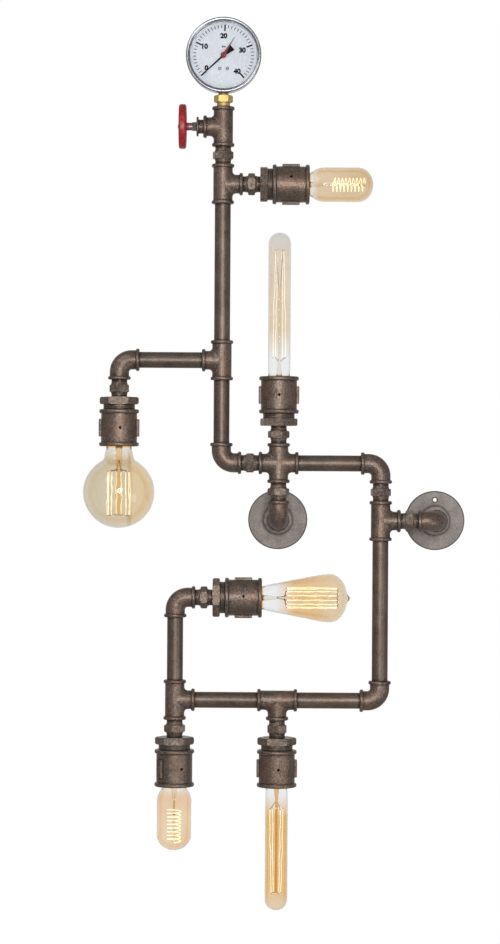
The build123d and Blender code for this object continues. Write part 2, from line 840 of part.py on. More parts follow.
def tube_ring(wall):
    """The C of the bourdon tube, drawn wall millimetres inside its outer skin."""
    turn = math.radians(tube_start)
    outward = (math.cos(turn), math.sin(turn), 0)
    origin = (tube_radius * outward[0], tube_radius * outward[1], tube_middle)
    section_frame = Plane(origin=origin, x_dir=outward, z_dir=(outward[1], -outward[0], 0))
    section = RectangleRounded(
        tube_section - 2 * wall, tube_width - 2 * wall, 0.45 * tube_section - wall
    )
    return revolve(section_frame * section, Axis.Z, -tube_sweep)


def gauge_stem():
    """The brass stem: thread, relief, hexagon, neck and the socket block inside the case."""
    face = -gauge_rise
    upright = Rot(-90, 0, 0)
    body = upright * rod(thread_od, face - thread_depth, face)
    body += upright * rod(gauge_relief_od, face - SMALL, face + gauge_relief_length)
    hex_end = face + gauge_relief_length + gauge_hex_thickness
    body += upright * hexagon(
        gauge_hex_af, face + gauge_relief_length, hex_end, gauge_hex_chamfer
    )
    body += upright * rod(gauge_neck_od, hex_end - SMALL, -tube_radius)
    body += block(
        stem_block_width,
        stem_block_height,
        stem_block_front + stem_block_back,
        y=-tube_radius,
        z=(stem_block_front - stem_block_back) / 2,
    )
    body -= upright * rod(stem_bore, face - thread_depth - 1, -tube_radius)
    return body - tube_ring(0.0)


def gauge_bourdon_tube():
    """The flattened C-shaped tube, its closed tip and the link that hangs from it."""
    tip_angle = tube_start - tube_sweep
    body = tube_ring(0.0) - tube_ring(tube_wall)
    body += Rot(0, 0, tip_angle) * block(
        tube_section + 1, tube_tip_length, tube_width + 0.6, x=tube_radius, z=tube_middle
    )
    turn = math.radians(tip_angle)
    link_top = Vector(tube_radius * math.cos(turn), tube_radius * math.sin(turn))
    link_foot = Vector(*sector_pivot) + Vector(*tail_end)
    run = link_foot - link_top
    slope = math.degrees(math.atan2(run.Y, run.X))
    link_back = gear_front + link_gap
    bar = Pos(run.length / 2, 0, link_back + link_thickness / 2) * Box(
        run.length, link_width, link_thickness
    )
    bar += rod(2 * link_width, link_back, link_back + link_thickness)
    stud = rod(link_width, tube_middle, link_back + link_thickness)
    return body + Pos(link_top.X, link_top.Y, 0) * (Rot(0, 0, slope) * bar + stud)


def gauge_movement_frame():
    """Two plates on four pillars, two dial posts and the foot on the stem's block."""
    plate_height = plate_top + plate_bottom
    plate_middle = (plate_top - plate_bottom) / 2
    body = Part()
    for front_face in (plate_front_depth, plate_back_depth + plate_thickness):
        plate = block(
            plate_width, plate_height, plate_thickness, y=plate_middle, z=front_face - plate_thickness / 2
        )
        body += fillet(plate.edges().filter_by(Axis.Z), plate_round)
    x_pillar = plate_width / 2 - pillar_inset
    for x in (-x_pillar, x_pillar):
        for y in (plate_top - pillar_inset, pillar_inset - plate_bottom):
            body += Pos(x, y, 0) * rod(pillar_od, plate_back_depth, plate_front_depth)
    for x in (-dial_post_spread, dial_post_spread):
        body += Pos(x, -dial_post_drop, 0) * rod(
            pillar_od, plate_front_depth - SMALL, dial_front - dial_thickness
        )
    body += block(
        foot_width, foot_height, plate_thickness, y=-plate_bottom, z=plate_front_depth + plate_thickness / 2
    )
    hole_od = arbor_od + 2 * arbor_clearance
    for x, y in ((0, 0), sector_pivot):
        body -= Pos(x, y, 0) * rod(hole_od, plate_back_depth - 1, dial_front)
    return body


# ------------------------------------------------------------------ gauge gearing
def toothed_face(teeth, first_angle, cut_teeth):
    """A flat face with cut_teeth teeth; first_angle is the middle of the first tooth."""
    pitch_radius = gear_module * teeth / 2
    tip_radius = pitch_radius + gear_addendum * gear_module
    root_radius = pitch_radius - gear_dedendum * gear_module
    pitch_angle = 360.0 / teeth
    root_half = 0.5 * pitch_angle * (tooth_share + 0.14)
    tip_half = 0.5 * pitch_angle * (tooth_share - 0.2)
    face = Sketch() + Circle(root_radius)
    for tooth in range(cut_teeth):
        angle = first_angle + tooth * pitch_angle
        corners = []
        for radius, offset in (
            (root_radius - 0.3, -root_half),
            (tip_radius, -tip_half),
            (tip_radius, tip_half),
            (root_radius - 0.3, root_half),
        ):
            turn = math.radians(angle + offset)
            corners.append((radius * math.cos(turn), radius * math.sin(turn)))
        face += make_face(Polyline(*corners, close=True))
    return face


def gauge_pinion():
    """The pinion on the arbor that carries the pointer."""
    face = toothed_face(pinion_teeth, mesh_angle + 180 + 180.0 / pinion_teeth, pinion_teeth)
    body = Pos(0, 0, gear_front - gear_thickness) * extrude(face, gear_thickness)
    return body + rod(arbor_od, plate_back_depth - 0.4, arbor_front)


def gauge_sector_gear():
    """The toothed sector, its arm and tail, on its own arbor."""
    face = toothed_face(sector_teeth_full, sector_first_tooth, sector_teeth_cut)
    root_radius = sector_pitch_radius - gear_dedendum * gear_module
    reach = sector_pitch_radius + 2 * gear_module
    reach /= math.cos(math.radians(sector_span / 8))
    wedge_points = [(0, 0)]
    for step in range(5):
        turn = math.radians(sector_start + sector_span * step / 4)
        wedge_points.append((reach * math.cos(turn), reach * math.sin(turn)))
    wedge = make_face(Polyline(*wedge_points, close=True))
    rim = (face & wedge) - Circle(root_radius - sector_rim)
    arm_reach = root_radius - 0.5 * sector_rim
    arm = Pos(arm_reach / 2, 0) * Rectangle(arm_reach, sector_arm_width)
    tail = Pos(-sector_tail_length / 2, 0) * Rectangle(sector_tail_length, sector_arm_width)
    flat = rim + Rot(0, 0, sector_arm_angle) * (arm + tail) + Circle(sector_arm_width * 0.7)
    body = Pos(0, 0, gear_front - gear_thickness) * extrude(flat, gear_thickness)
    body += rod(arbor_od, plate_back_depth - 0.4, plate_front_depth + 0.3)
    return Pos(sector_pivot[0], sector_pivot[1], 0) * body


arbor_front = set_hand_front + set_hand_hub_height - set_hand_cover - arbor_clearance


def gauge_pointer():
    """The black pointer at zero with its flared tail."""
    tip = pointer_tip_width / 2
    root = pointer_root_width / 2
    tail = pointer_tail_width / 2
    blade = make_face(
        Polyline(
            (-tip, pointer_length),
            (tip, pointer_length),
            (root, 0),
            (tail, -pointer_tail_length),
            (-tail, -pointer_tail_length),
            (-root, 0),
            close=True,
        )
    )
    blade += Circle(pointer_hub_od / 2)
    body = extrude(blade, pointer_thickness)
    body = Pos(0, 0, pointer_front - pointer_thickness) * body
    body += rod(pointer_hub_od * 0.7, pointer_front - 1.2, pointer_front)
    body -= rod(arbor_od, 0, pointer_front + 1)
    return Rot(0, 0, -pointer_zero_angle) * body


def gauge_set_hand():
    """The red hand that marks a chosen pressure, turning on the arbor's end."""
    root = set_hand_root_width / 2
    shoulder = set_hand_shoulder_width / 2
    blade = make_face(
        Polyline(
            (-0.25, set_hand_length),
            (0.25, set_hand_length),
            (shoulder, set_hand_shoulder),
            (root, 0),
            (-root, 0),
            (-shoulder, set_hand_shoulder),
            close=True,
        )
    )
    body = Pos(0, 0, set_hand_front - set_hand_thickness) * extrude(blade, set_hand_thickness)
    hub = rod(set_hand_hub_od, set_hand_front - set_hand_thickness, set_hand_front + set_hand_hub_height)
    body += fillet(hub.edges().group_by(Axis.Z)[-1], 0.4)
    body -= rod(arbor_od + 2 * arbor_clearance, 0, arbor_front + arbor_clearance)
    return Rot(0, 0, -set_hand_angle) * body


# ------------------------------------------------------------------ valve, drawn along its own axis
# Local Z runs out of the valve tee's left face, with zero at the face.
plug_face = plug_shank_visible + plug_flange_thickness
gland_end = plug_face + gland_hex_length + gland_neck_length
collar_outer = plug_face - gland_spigot_depth - spindle_collar_play
collar_inner = collar_outer - spindle_collar_length
wheel_hub_end = gland_end + spindle_collar_play + wheel_hub_length
wheel_nut_end = wheel_hub_end + wheel_nut_thickness


def valve_plug():
    """The beaded plug in the tee, bored out for the spindle's gland."""
    body = rod(thread_od, -thread_depth, 0) + rod(plug_shank_od, -SMALL, plug_shank_visible)
    flange = rod(plug_flange_od, plug_shank_visible, plug_face)
    body += fillet(flange.edges().filter_by(GeomType.CIRCLE), 0.45 * plug_flange_thickness)
    return body - rod(plug_cavity_od, plug_face - plug_cavity_depth, plug_face + 1)


def valve_gland_nut():
    """The steel gland nut with its spigot in the plug and a plain neck behind the wheel."""
    body = hexagon(gland_af, plug_face, plug_face + gland_hex_length, 0.6)
    body += rod(gland_neck_od, plug_face + gland_hex_length - SMALL, gland_end)
    body += rod(plug_cavity_od - 2 * thread_clearance, plug_face - gland_spigot_depth, plug_face + SMALL)
    return body - rod(spindle_od + 2 * spindle_clearance, collar_inner, gland_end + 1)


def valve_spindle():
    """The spindle, held in the plug by its collar."""
    body = rod(spindle_od, collar_inner - 2.0, wheel_hub_end)
    body += rod(spindle_collar_od, collar_inner, collar_outer)
    end = rod(spindle_end_od, wheel_hub_end - SMALL, wheel_nut_end + spindle_end_proud)
    return body + chamfer(end.edges().group_by(Axis.Z)[-1], 0.5)


def valve_handwheel():
    """The cast wheel: a lobed rim, dished spokes and a hub with a boss towards the tee."""
    hub_start = gland_end + spindle_collar_play
    rim_middle = hub_start + wheel_offset
    rim_radius = (wheel_od - wheel_rim_height) / 2
    ring = rod(wheel_od, rim_middle - wheel_rim_width / 2, rim_middle + wheel_rim_width / 2)
    ring -= rod(
        wheel_od - 2 * wheel_rim_height, rim_middle - wheel_rim_width, rim_middle + wheel_rim_width
    )
    ring = fillet(ring.edges().filter_by(GeomType.CIRCLE), wheel_rim_round)
    lobe_pitch = 360.0 / wheel_lobes
    dent_radius = wheel_od * 0.36
    for lobe in range(wheel_lobes):
        dent_at = wheel_od / 2 + dent_radius - wheel_lobe_depth
        dent = Pos(dent_at, 0, 0) * rod(
            2 * dent_radius, rim_middle - wheel_rim_width, rim_middle + wheel_rim_width
        )
        ring -= Rot(0, 0, (lobe + 0.5) * lobe_pitch) * dent
    hub_front = hub_start + wheel_hub_length
    hub = rod(wheel_hub_boss_od, hub_start, hub_start + wheel_boss_length + SMALL)
    hub += taper(wheel_hub_boss_od, wheel_hub_od, hub_start + wheel_boss_length, hub_front - 3)
    hub += rod(wheel_hub_od, hub_front - 3 - SMALL, hub_front)
    body = ring + hub
    spoke_start = hub_front - 3.5
    for lobe in range(wheel_lobes):
        inner = Vector(wheel_hub_od / 2 - 2.0, 0, spoke_start)
        outer = Vector(rim_radius, 0, rim_middle)
        direction = outer - inner
        section = Plane(origin=inner, x_dir=(0, 1, 0), z_dir=direction)
        spoke = extrude(
            section * RectangleRounded(wheel_spoke_width, wheel_spoke_thickness, 1.4), direction.length
        )
        body += Rot(0, 0, lobe * lobe_pitch) * spoke
    return body - rod(spindle_od, hub_start - 1, hub_front + 1)


def valve_wheel_nut():
    body = hexagon(wheel_nut_af, wheel_hub_end, wheel_nut_end, 0.7)
    return body - rod(spindle_end_od, wheel_hub_end - 1, wheel_nut_end + 1)


# ------------------------------------------------------------------ wiring
def cable(thickness, points):
    """One run of cable along the pipes, bent where the elbows turn."""
    return round_wire(points, elbow_bend_radius, thickness)


def in_plane(x, z):
    return (x, -pipe_depth, z)


def wiring_harness():
    """The cables from the left rose to the six lampholders, joined where the tees branch."""
    lamp_reach = fitting_reach + bush_end
    trunk = cable(
        trunk_cable_od,
        [(0, -cable_wall_inset, 0), in_plane(0, 0), in_plane(0, cross_z + lamp_reach)],
    )
    loop = cable(
        loop_cable_od,
        [
            in_plane(left_x + lamp_reach, top_lamp_z),
            in_plane(left_x, top_lamp_z),
            in_plane(left_x, cross_z),
            in_plane(right_x, cross_z),
            in_plane(right_x, bottom_z),
            in_plane(bottom_left_x, bottom_z),
        ],
    )
    arm = cable(
        branch_cable_od,
        [in_plane(left_x, arm_z), in_plane(arm_x, arm_z), in_plane(arm_x, arm_z - lamp_reach)],
    )
    bottom_left = cable(
        branch_cable_od,
        [
            in_plane(bottom_left_x, bottom_z - lamp_reach),
            in_plane(bottom_left_x, teardrop_z),
            in_plane(bottom_left_x + lamp_reach, teardrop_z),
        ],
    )
    middle = place(0, bottom_z, DOWN) * rod(branch_cable_od, 0, lamp_reach)
    return loop + trunk + arm + bottom_left + middle


# ------------------------------------------------------------------ assembly
# Each lamp: x and z of its fitting's centre, its direction, and how far the nipple's hexagon,
# the bush's hexagon, the coupling's ribs and its hole are turned about the lamp's axis.
lamps = {
    "top_tubular": (left_x, top_lamp_z, RIGHT, 30, 8, 0, -20),
    "globe": (arm_x, arm_z, DOWN, 0, 30, 0, -6),
    "long_slim": (0.0, cross_z, UP, 18, 12, 0, 0),
    "teardrop": (bottom_left_x, teardrop_z, RIGHT, 26, 20, 0, -7),
    "lower_tubular": (bottom_left_x, bottom_z, DOWN, 12, 30, -40, -25),
    "short_slim": (0.0, bottom_z, DOWN, 0, 30, 0, -5),
}


def lamp_frame(name):
    """The frame at the fitting's face that a lamp grows from."""
    x, z, direction = lamps[name][:3]
    return place(x + direction.X * fitting_reach, z + direction.Z * fitting_reach, direction)


def main():
    os.makedirs("parts", exist_ok=True)

    write(branched_fitting(left_x, valve_z, UP, LEFT), "tee_valve")
    write(branched_fitting(left_x, top_lamp_z, UP, RIGHT), "tee_top_lamp")
    write(branched_fitting(left_x, arm_z, UP, LEFT), "tee_left_arm")
    write(branched_fitting(right_x, 0, UP, RIGHT), "tee_right_wall")
    write(branched_fitting(0, bottom_z, RIGHT, DOWN), "tee_bottom_middle")
    write(branched_fitting(bottom_left_x, bottom_z, UP, RIGHT), "tee_bottom_left")
    write(branched_fitting(0, cross_z, UP, RIGHT, is_cross=True), "cross_centre")

    write(elbow(arm_x, arm_z, RIGHT, DOWN), "elbow_left_arm")
    write(elbow(left_x, cross_z, RIGHT, UP), "elbow_centre_left")
    write(elbow(right_x, cross_z, LEFT, DOWN), "elbow_right_top")
    write(elbow(right_x, bottom_z, LEFT, UP), "elbow_right_bottom")
    write(elbow(bottom_left_x, teardrop_z, RIGHT, DOWN), "elbow_bottom_left")
    write(elbow(0, 0, UP, WALL), "elbow_wall_left")
    write(elbow(wall_right_x, 0, LEFT, WALL), "elbow_wall_right")

    write(pipe(left_x, arm_z + fitting_reach, UP, riser_visible), "riser_pipe")
    write(pipe(right_x, -fitting_reach, DOWN, drop_visible), "drop_pipe")
    short_starts = (
        (left_x, cross_z + fitting_reach, UP),
        (left_x - fitting_reach, arm_z, LEFT),
        (fitting_reach, cross_z, RIGHT),
        (right_x - fitting_reach, bottom_z, LEFT),
        (-fitting_reach, bottom_z, LEFT),
        (bottom_left_x, bottom_z + fitting_reach, UP),
    )
    shorts = [pipe(x, z, direction, short_pipe_visible) for x, z, direction in short_starts]
    write(Compound(shorts), "short_pipes")

    # Each frame nipple's start, its direction and how many degrees it is screwed round.
    frame_nipples = (
        (left_x, -pipe_depth, top_lamp_z + fitting_reach, UP, 10),
        (left_x + fitting_reach, -pipe_depth, cross_z, RIGHT, 0),
        (0, -pipe_depth, cross_z - fitting_reach, DOWN, 22),
        (right_x, -pipe_depth, fitting_reach, UP, 5),
        (right_x + fitting_reach, -pipe_depth, 0, RIGHT, 14),
        (0, -rose_height, 0, FRONT, 0),
        (wall_right_x, -rose_height, 0, FRONT, 30),
    )
    nipples = [
        place(x, z, direction, y=y) * hex_nipple(screwed) for x, y, z, direction, screwed in frame_nipples
    ]
    for name in lamps:
        nipples.append(lamp_frame(name) * hex_nipple(lamps[name][3]))
    write(Compound(nipples), "hex_nipples")

    write(wall_rose(0), "wall_rose_left")
    write(wall_rose(wall_right_x), "wall_rose_right")

    bushes = []
    couplings = []
    screws = []
    insulators = []
    sockets = []
    for name in lamps:
        bush_roll, rib_roll, hole_roll = lamps[name][4:]
        here = lamp_frame(name)
        bushes.append(here * reducing_bush(bush_roll))
        couplings.append(here * lamp_coupling(rib_roll, hole_roll))
        screws.append(here * Rot(0, 0, hole_roll) * set_screw())
        insulators.append(here * holder_insulator())
        sockets.append(here * holder_shell())
        sockets.append(here * holder_contact())
    write(Compound(bushes), "reducing_bushes")
    write(Compound(couplings), "lamp_couplings")
    write(Compound(screws), "coupling_set_screws")
    write(Compound(insulators), "lampholder_insulators")
    write(Compound(sockets), "lampholder_shells")
    write(wiring_harness(), "wiring_harness")

    glass = {
        "top_tubular": envelope(tubular_outline),
        "globe": envelope(globe_outline),
        "long_slim": envelope(slim_outline(slim_long_length)),
        "teardrop": envelope(teardrop_outline) + teardrop_pip(),
        "lower_tubular": envelope(tubular_outline),
        "short_slim": envelope(slim_outline(slim_short_length)),
    }
    coil = coil_filament(coil_radius, coil_foot, tubular_length - coil_inset, coil_turns)
    filament = {
        "top_tubular": coil,
        "globe": cage_filament(
            globe_cage_near, globe_cage_far, globe_cage_foot, globe_centre + globe_cage_rise, globe_strands
        ),
        "long_slim": cage_filament(
            long_slim_cage_near,
            long_slim_cage_far,
            long_slim_cage_foot,
            slim_long_length - long_slim_cage_inset,
            slim_strands,
        ),
        "teardrop": cage_filament(
            teardrop_cage_radius,
            teardrop_cage_radius,
            teardrop_cage_foot,
            teardrop_length - teardrop_cage_inset,
            teardrop_strands,
        ),
        "lower_tubular": coil,
        "short_slim": cage_filament(
            short_slim_cage_near,
            short_slim_cage_far,
            short_slim_cage_foot,
            slim_short_length - short_slim_cage_inset,
            slim_strands,
        ),
    }
    for name in lamps:
        here = lamp_frame(name)
        write(here * glass[name], "bulb_" + name + "_glass")
        write(here * bulb_cap(), "bulb_" + name + "_cap")
        write(here * filament[name], "bulb_" + name + "_filament")

    gauge_parts = {
        "gauge_case": gauge_case(),
        "gauge_bezel": gauge_bezel(),
        "gauge_window": gauge_window(),
        "gauge_dial": gauge_dial(),
        "gauge_stem": gauge_stem(),
        "gauge_bourdon_tube": gauge_bourdon_tube(),
        "gauge_movement_frame": gauge_movement_frame(),
        "gauge_sector_gear": gauge_sector_gear(),
        "gauge_pinion": gauge_pinion(),
        "gauge_pointer": gauge_pointer(),
        "gauge_set_hand": gauge_set_hand(),
    }
    for name, shape in gauge_parts.items():
        write(dial_frame * shape, name)

    valve_frame = place(left_x - fitting_reach, valve_z, LEFT)
    write(valve_frame * valve_plug(), "valve_plug")
    write(valve_frame * valve_gland_nut(), "valve_gland_nut")
    write(valve_frame * valve_spindle(), "valve_spindle")
    write(valve_frame * valve_handwheel(), "valve_handwheel")
    write(valve_frame * valve_wheel_nut(), "valve_wheel_nut")


main()
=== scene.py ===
"""Industrial pipe wall light: modelled details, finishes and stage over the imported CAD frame.

Lengths in the tables are millimetres in each piece's own frame; Blender works in metres.
"""

import json
import math

import bpy
from mathutils import Matrix, Vector

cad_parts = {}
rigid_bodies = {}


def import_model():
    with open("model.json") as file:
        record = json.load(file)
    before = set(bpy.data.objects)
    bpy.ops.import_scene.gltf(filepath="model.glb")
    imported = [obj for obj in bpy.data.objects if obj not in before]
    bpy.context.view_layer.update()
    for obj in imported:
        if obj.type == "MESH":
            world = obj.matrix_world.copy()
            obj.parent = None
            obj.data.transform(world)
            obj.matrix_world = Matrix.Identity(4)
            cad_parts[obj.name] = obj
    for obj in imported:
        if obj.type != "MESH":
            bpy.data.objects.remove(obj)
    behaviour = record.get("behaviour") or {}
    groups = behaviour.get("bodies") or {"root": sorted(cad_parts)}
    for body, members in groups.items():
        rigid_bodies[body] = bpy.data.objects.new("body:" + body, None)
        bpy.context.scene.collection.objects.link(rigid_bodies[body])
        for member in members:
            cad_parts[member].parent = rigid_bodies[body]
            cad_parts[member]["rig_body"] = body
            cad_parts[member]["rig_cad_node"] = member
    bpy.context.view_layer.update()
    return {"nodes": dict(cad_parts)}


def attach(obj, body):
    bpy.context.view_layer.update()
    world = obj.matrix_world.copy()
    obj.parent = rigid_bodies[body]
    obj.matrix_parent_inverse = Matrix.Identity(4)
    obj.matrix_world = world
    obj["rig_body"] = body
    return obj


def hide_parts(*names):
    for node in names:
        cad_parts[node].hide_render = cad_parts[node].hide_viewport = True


bl_info = {
    "name": "Pipe wall light",
    "version": (1, 0, 0),
    "blender": (4, 5, 0),
    "location": "3D View > Sidebar > Pipe light",
    "description": "Models the fine pieces of a pipe wall light and gives every piece its finish",
    "category": "Object",
}

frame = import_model()
nodes = frame["nodes"]

MM = 0.001
RIGHT = Vector((1, 0, 0))
UP = Vector((0, 0, 1))
DOWN = Vector((0, 0, -1))
FRONT = Vector((0, -1, 0))

pipe_depth = 65.0             # the pipes' plane, from the wall
fitting_reach = 26.6          # from a fitting's middle to its face
nipple_gap = 23.0
rose_radius, rose_height = 40.0, 15.4
face = 88.6                   # a lamp coupling's face, from its fitting
left_x, right_x, arm_x, bottom_left_x, wall_right_x = -76.2, 136.2, -212.4, -136.2, 212.4
cross_z, arm_z, top_lamp_z = 76.2, 212.4, 446.9
bottom_z, teardrop_z, gauge_z = -239.3, -103.1, 616.6

# Each lamp's fitting and the way it points.
lamps = {
    "top_tubular": (left_x, top_lamp_z, RIGHT),
    "globe": (arm_x, arm_z, DOWN),
    "long_slim": (0.0, cross_z, UP),
    "teardrop": (bottom_left_x, teardrop_z, RIGHT),
    "lower_tubular": (bottom_left_x, bottom_z, DOWN),
    "short_slim": (0.0, bottom_z, DOWN),
}
# Where a bulb's tint fades towards its tip, from the coupling's face, and the tip's tone.
pale_tips = {
    "long_slim": (165.0, 180.0, (0.80, 0.79, 0.78)),
    "short_slim": (141.0, 158.0, (0.88, 0.80, 0.70)),
    "teardrop": (66.0, 104.0, (0.86, 0.79, 0.68)),
}
# How strongly a bulb's glass mirrors the lights that face it.
gleams = {"globe": 0.9, "top_tubular": 0.6, "long_slim": 0.02}
common_gleam = 0.12
# What each bulb's glass takes on near its outline.
deep_tones = {
    "top_tubular": (0.95, 0.86, 0.70),
    "lower_tubular": (0.96, 0.90, 0.80),
    "globe": (0.97, 0.93, 0.86),
    "teardrop": (0.95, 0.87, 0.74),
    "short_slim": (0.94, 0.82, 0.62),
    "long_slim": (0.97, 0.96, 0.95),
}


# ------ places
def place(x, z, direction, y=-pipe_depth):
    """The frame at (x, y, z) whose Z runs along direction and whose X faces the room."""
    side = RIGHT if direction == FRONT else FRONT
    across = direction.cross(side)
    turn = Matrix((side, across, direction)).transposed().to_4x4()
    return Matrix.Translation(Vector((x, y, z)) * MM) @ turn


def lamp_place(name):
    """The frame on a lamp's fitting face, whose Z runs out along the lamp."""
    x, z, direction = lamps[name]
    return place(x + direction.x * fitting_reach, z + direction.z * fitting_reach, direction)


def dial_place():
    """The frame at the gauge's middle, whose Z faces the room."""
    turn = Matrix((RIGHT, UP, FRONT)).transposed().to_4x4()
    return Matrix.Translation(Vector((left_x, -pipe_depth, gauge_z)) * MM) @ turn


# ------ modelling helpers
def only(piece):
    """Selects one piece and nothing else."""
    bpy.ops.object.select_all(action="DESELECT")
    piece.select_set(True)
    bpy.context.view_layer.objects.active = piece


def chain(name, points):
    """A row of vertices joined by edges, from points in millimetres."""
    bpy.ops.object.select_all(action="DESELECT")
    bpy.ops.mesh.primitive_plane_add(size=MM)
    piece = bpy.context.object
    piece.name = name
    bpy.ops.object.mode_set(mode="EDIT")
    bpy.ops.mesh.merge(type="CENTER")
    bpy.ops.transform.translate(value=Vector(points[0]) * MM)
    for here, there in zip(points, points[1:]):
        step = (Vector(there) - Vector(here)) * MM
        bpy.ops.mesh.extrude_vertices_move(TRANSFORM_OT_translate={"value": step})
    bpy.ops.object.mode_set(mode="OBJECT")
    return piece


def turned(name, outline, steps=64, sharp=35.0):
    """A turned piece about its Z axis, from an outline of (radius, height)."""
    piece = chain(name, [(radius, 0, height) for radius, height in outline])
    bpy.ops.object.mode_set(mode="EDIT")
    bpy.ops.mesh.select_all(action="SELECT")
    bpy.ops.mesh.spin(steps=steps, angle=2 * math.pi, center=(0, 0, 0), axis=(0, 0, 1))
    bpy.ops.mesh.select_all(action="SELECT")
    bpy.ops.mesh.remove_doubles(threshold=0.002 * MM)
    bpy.ops.mesh.normals_make_consistent(inside=False)
    bpy.ops.object.mode_set(mode="OBJECT")
    bpy.ops.object.shade_smooth_by_angle(angle=math.radians(sharp))
    return piece


def wire(name, runs, thickness, sides=2):
    """Round wires along rows of points, as one piece."""
    joined([chain(name, run) for run in runs])
    bpy.ops.object.convert(target="CURVE")
    piece = bpy.context.object
    piece.data.bevel_depth = thickness / 2 * MM
    piece.data.bevel_resolution = sides
    piece.data.use_fill_caps = True
    bpy.ops.object.convert(target="MESH")
    piece = bpy.context.object
    piece.name = name
    bpy.ops.object.shade_smooth_by_angle(angle=math.radians(50))
    return piece


def joined(rows):
    """Joins the pieces into the first one."""
    bpy.ops.object.select_all(action="DESELECT")
    for row in rows:
        row.select_set(True)
    bpy.context.view_layer.objects.active = rows[0]
    if len(rows) > 1:
        bpy.ops.object.join()
    return rows[0]


def seated(piece, matrix):
    """Puts the piece in its place and leaves its object at the origin."""
    piece.matrix_world = matrix
    only(piece)
    bpy.ops.object.transform_apply(location=True, rotation=True, scale=True)
    return piece


def copies(piece, matrices):
    """The piece once in each place, as one piece."""
    rows = []
    for matrix in matrices:
        row = piece.copy()
        row.data = piece.data.copy()
        bpy.context.scene.collection.objects.link(row)
        rows.append(seated(row, matrix))
    name = piece.name
    bpy.data.objects.remove(piece)
    whole = joined(rows)
    whole.name = name
    return whole


def smooth_copy(node, sharp):
    """A copy of a CAD node with its doubles merged and its round faces smooth, in the node's place."""
    source = nodes[node]
    piece = source.copy()
    piece.data = source.data.copy()
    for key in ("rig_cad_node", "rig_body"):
        del piece[key]
    piece.parent = None
    piece.name = node + "_finished"
    bpy.context.scene.collection.objects.link(piece)
    only(piece)
    bpy.ops.mesh.customdata_custom_splitnormals_clear()
    bpy.ops.object.mode_set(mode="EDIT")
    bpy.ops.mesh.select_all(action="SELECT")
    bpy.ops.mesh.remove_doubles(threshold=0.001 * MM)
    bpy.ops.object.mode_set(mode="OBJECT")
    bpy.ops.object.shade_smooth_by_angle(angle=math.radians(sharp))
    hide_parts(node)
    return piece


def dress(piece, finish, body="frame"):
    """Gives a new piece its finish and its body."""
    piece.data.materials.clear()
    piece.data.materials.append(finishes()[finish])
    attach(piece, body)


def refine(node, finish, body="frame", sharp=30.0):
    """Shows a smooth copy of a CAD node in its place."""
    dress(smooth_copy(node, sharp), finish, body)


def refinish(node, finish):
    """Gives a CAD node its finish."""
    for slot in nodes[node].material_slots:
        slot.material = finishes()[finish]


# ------ shader helpers
def feed(tree, socket, value):
    """Links a socket to another one, or sets it to a plain value."""
    if isinstance(value, bpy.types.NodeSocket):
        tree.links.new(value, socket)
    else:
        socket.default_value = value


def node_in(tree, kind, links=(), **values):
    """Adds a shader node, sets its plain sockets and properties, and feeds the rest."""
    made = tree.nodes.new(kind)
    for key, value in values.items():
        if key in made.inputs:
            made.inputs[key].default_value = value
        else:
            setattr(made, key, value)
    for socket, value in dict(links).items():
        feed(tree, made.inputs[socket], value)
    return made


def own_place(tree):
    """The object's own coordinates."""
    return node_in(tree, "ShaderNodeTexCoord").outputs["Object"]


def own_axes(tree):
    """The object's own coordinates, one by one."""
    return node_in(tree, "ShaderNodeSeparateXYZ", {"Vector": own_place(tree)}).outputs


def worked_out(tree, operation, *values):
    """A number worked out from numbers and sockets."""
    return node_in(tree, "ShaderNodeMath", dict(enumerate(values)), operation=operation).outputs[0]


def vector_worked_out(tree, operation, *values):
    """A number worked out from vectors and sockets."""
    made = node_in(tree, "ShaderNodeVectorMath", dict(enumerate(values)), operation=operation)
    return made.outputs["Value"]


def noise_in(tree, where, scale, detail, roughness=0.6):
    """A noise over a place; the scale is a number or a socket."""
    links = {"Vector": where, "Scale": scale}
    return node_in(tree, "ShaderNodeTexNoise", links, Detail=detail, Roughness=roughness).outputs["Fac"]


def ranged(tree, value, low, high, out_low=0.0, out_high=1.0):
    """Stretches the values between low and high over the outer range, and stops at its ends."""
    limits = {"From Min": low, "From Max": high, "To Min": out_low, "To Max": out_high}
    return node_in(tree, "ShaderNodeMapRange", {"Value": value, **limits}).outputs["Result"]


def mixed(tree, factor, first, second, blend="MIX"):
    """Mixes two colours, each a plain colour or a socket, by a number or a socket."""
    mix = node_in(tree, "ShaderNodeMix", {"Factor": factor}, data_type="RGBA", blend_type=blend)
    for socket, value in ((6, first), (7, second)):
        linked = isinstance(value, bpy.types.NodeSocket)
        feed(tree, mix.inputs[socket], value if linked else (*value[:3], 1.0))
    return mix.outputs[2]


def relief(tree, shader, height, strength, distance):
    """Roughens a surface by a height, with the relief's depth in millimetres."""
    bump = node_in(tree, "ShaderNodeBump", {"Height": height}, Strength=strength, Distance=distance * MM)
    tree.links.new(bump.outputs["Normal"], shader.inputs["Normal"])


def shade(colour, factor):
    """A colour made darker or brighter."""
    return [part * factor for part in colour[:3]]


def mellow(colour):
    """A paler, pinker tint of a colour."""
    return [part + added for part, added in zip(colour, (0.06, 0.042, 0.044))]


# ------ shared shader groups
def shader_group(name, inputs, outputs):
    """An empty group with float inputs, each with its plain value, and the named float outputs."""
    group = bpy.data.node_groups.new(name, "ShaderNodeTree")
    for label, default in inputs.items():
        socket = group.interface.new_socket(name=label, in_out="INPUT", socket_type="NodeSocketFloat")
        socket.default_value = default
    for label in outputs:
        group.interface.new_socket(name=label, in_out="OUTPUT", socket_type="NodeSocketFloat")
    return group, group.nodes.new("NodeGroupInput").outputs, group.nodes.new("NodeGroupOutput").inputs


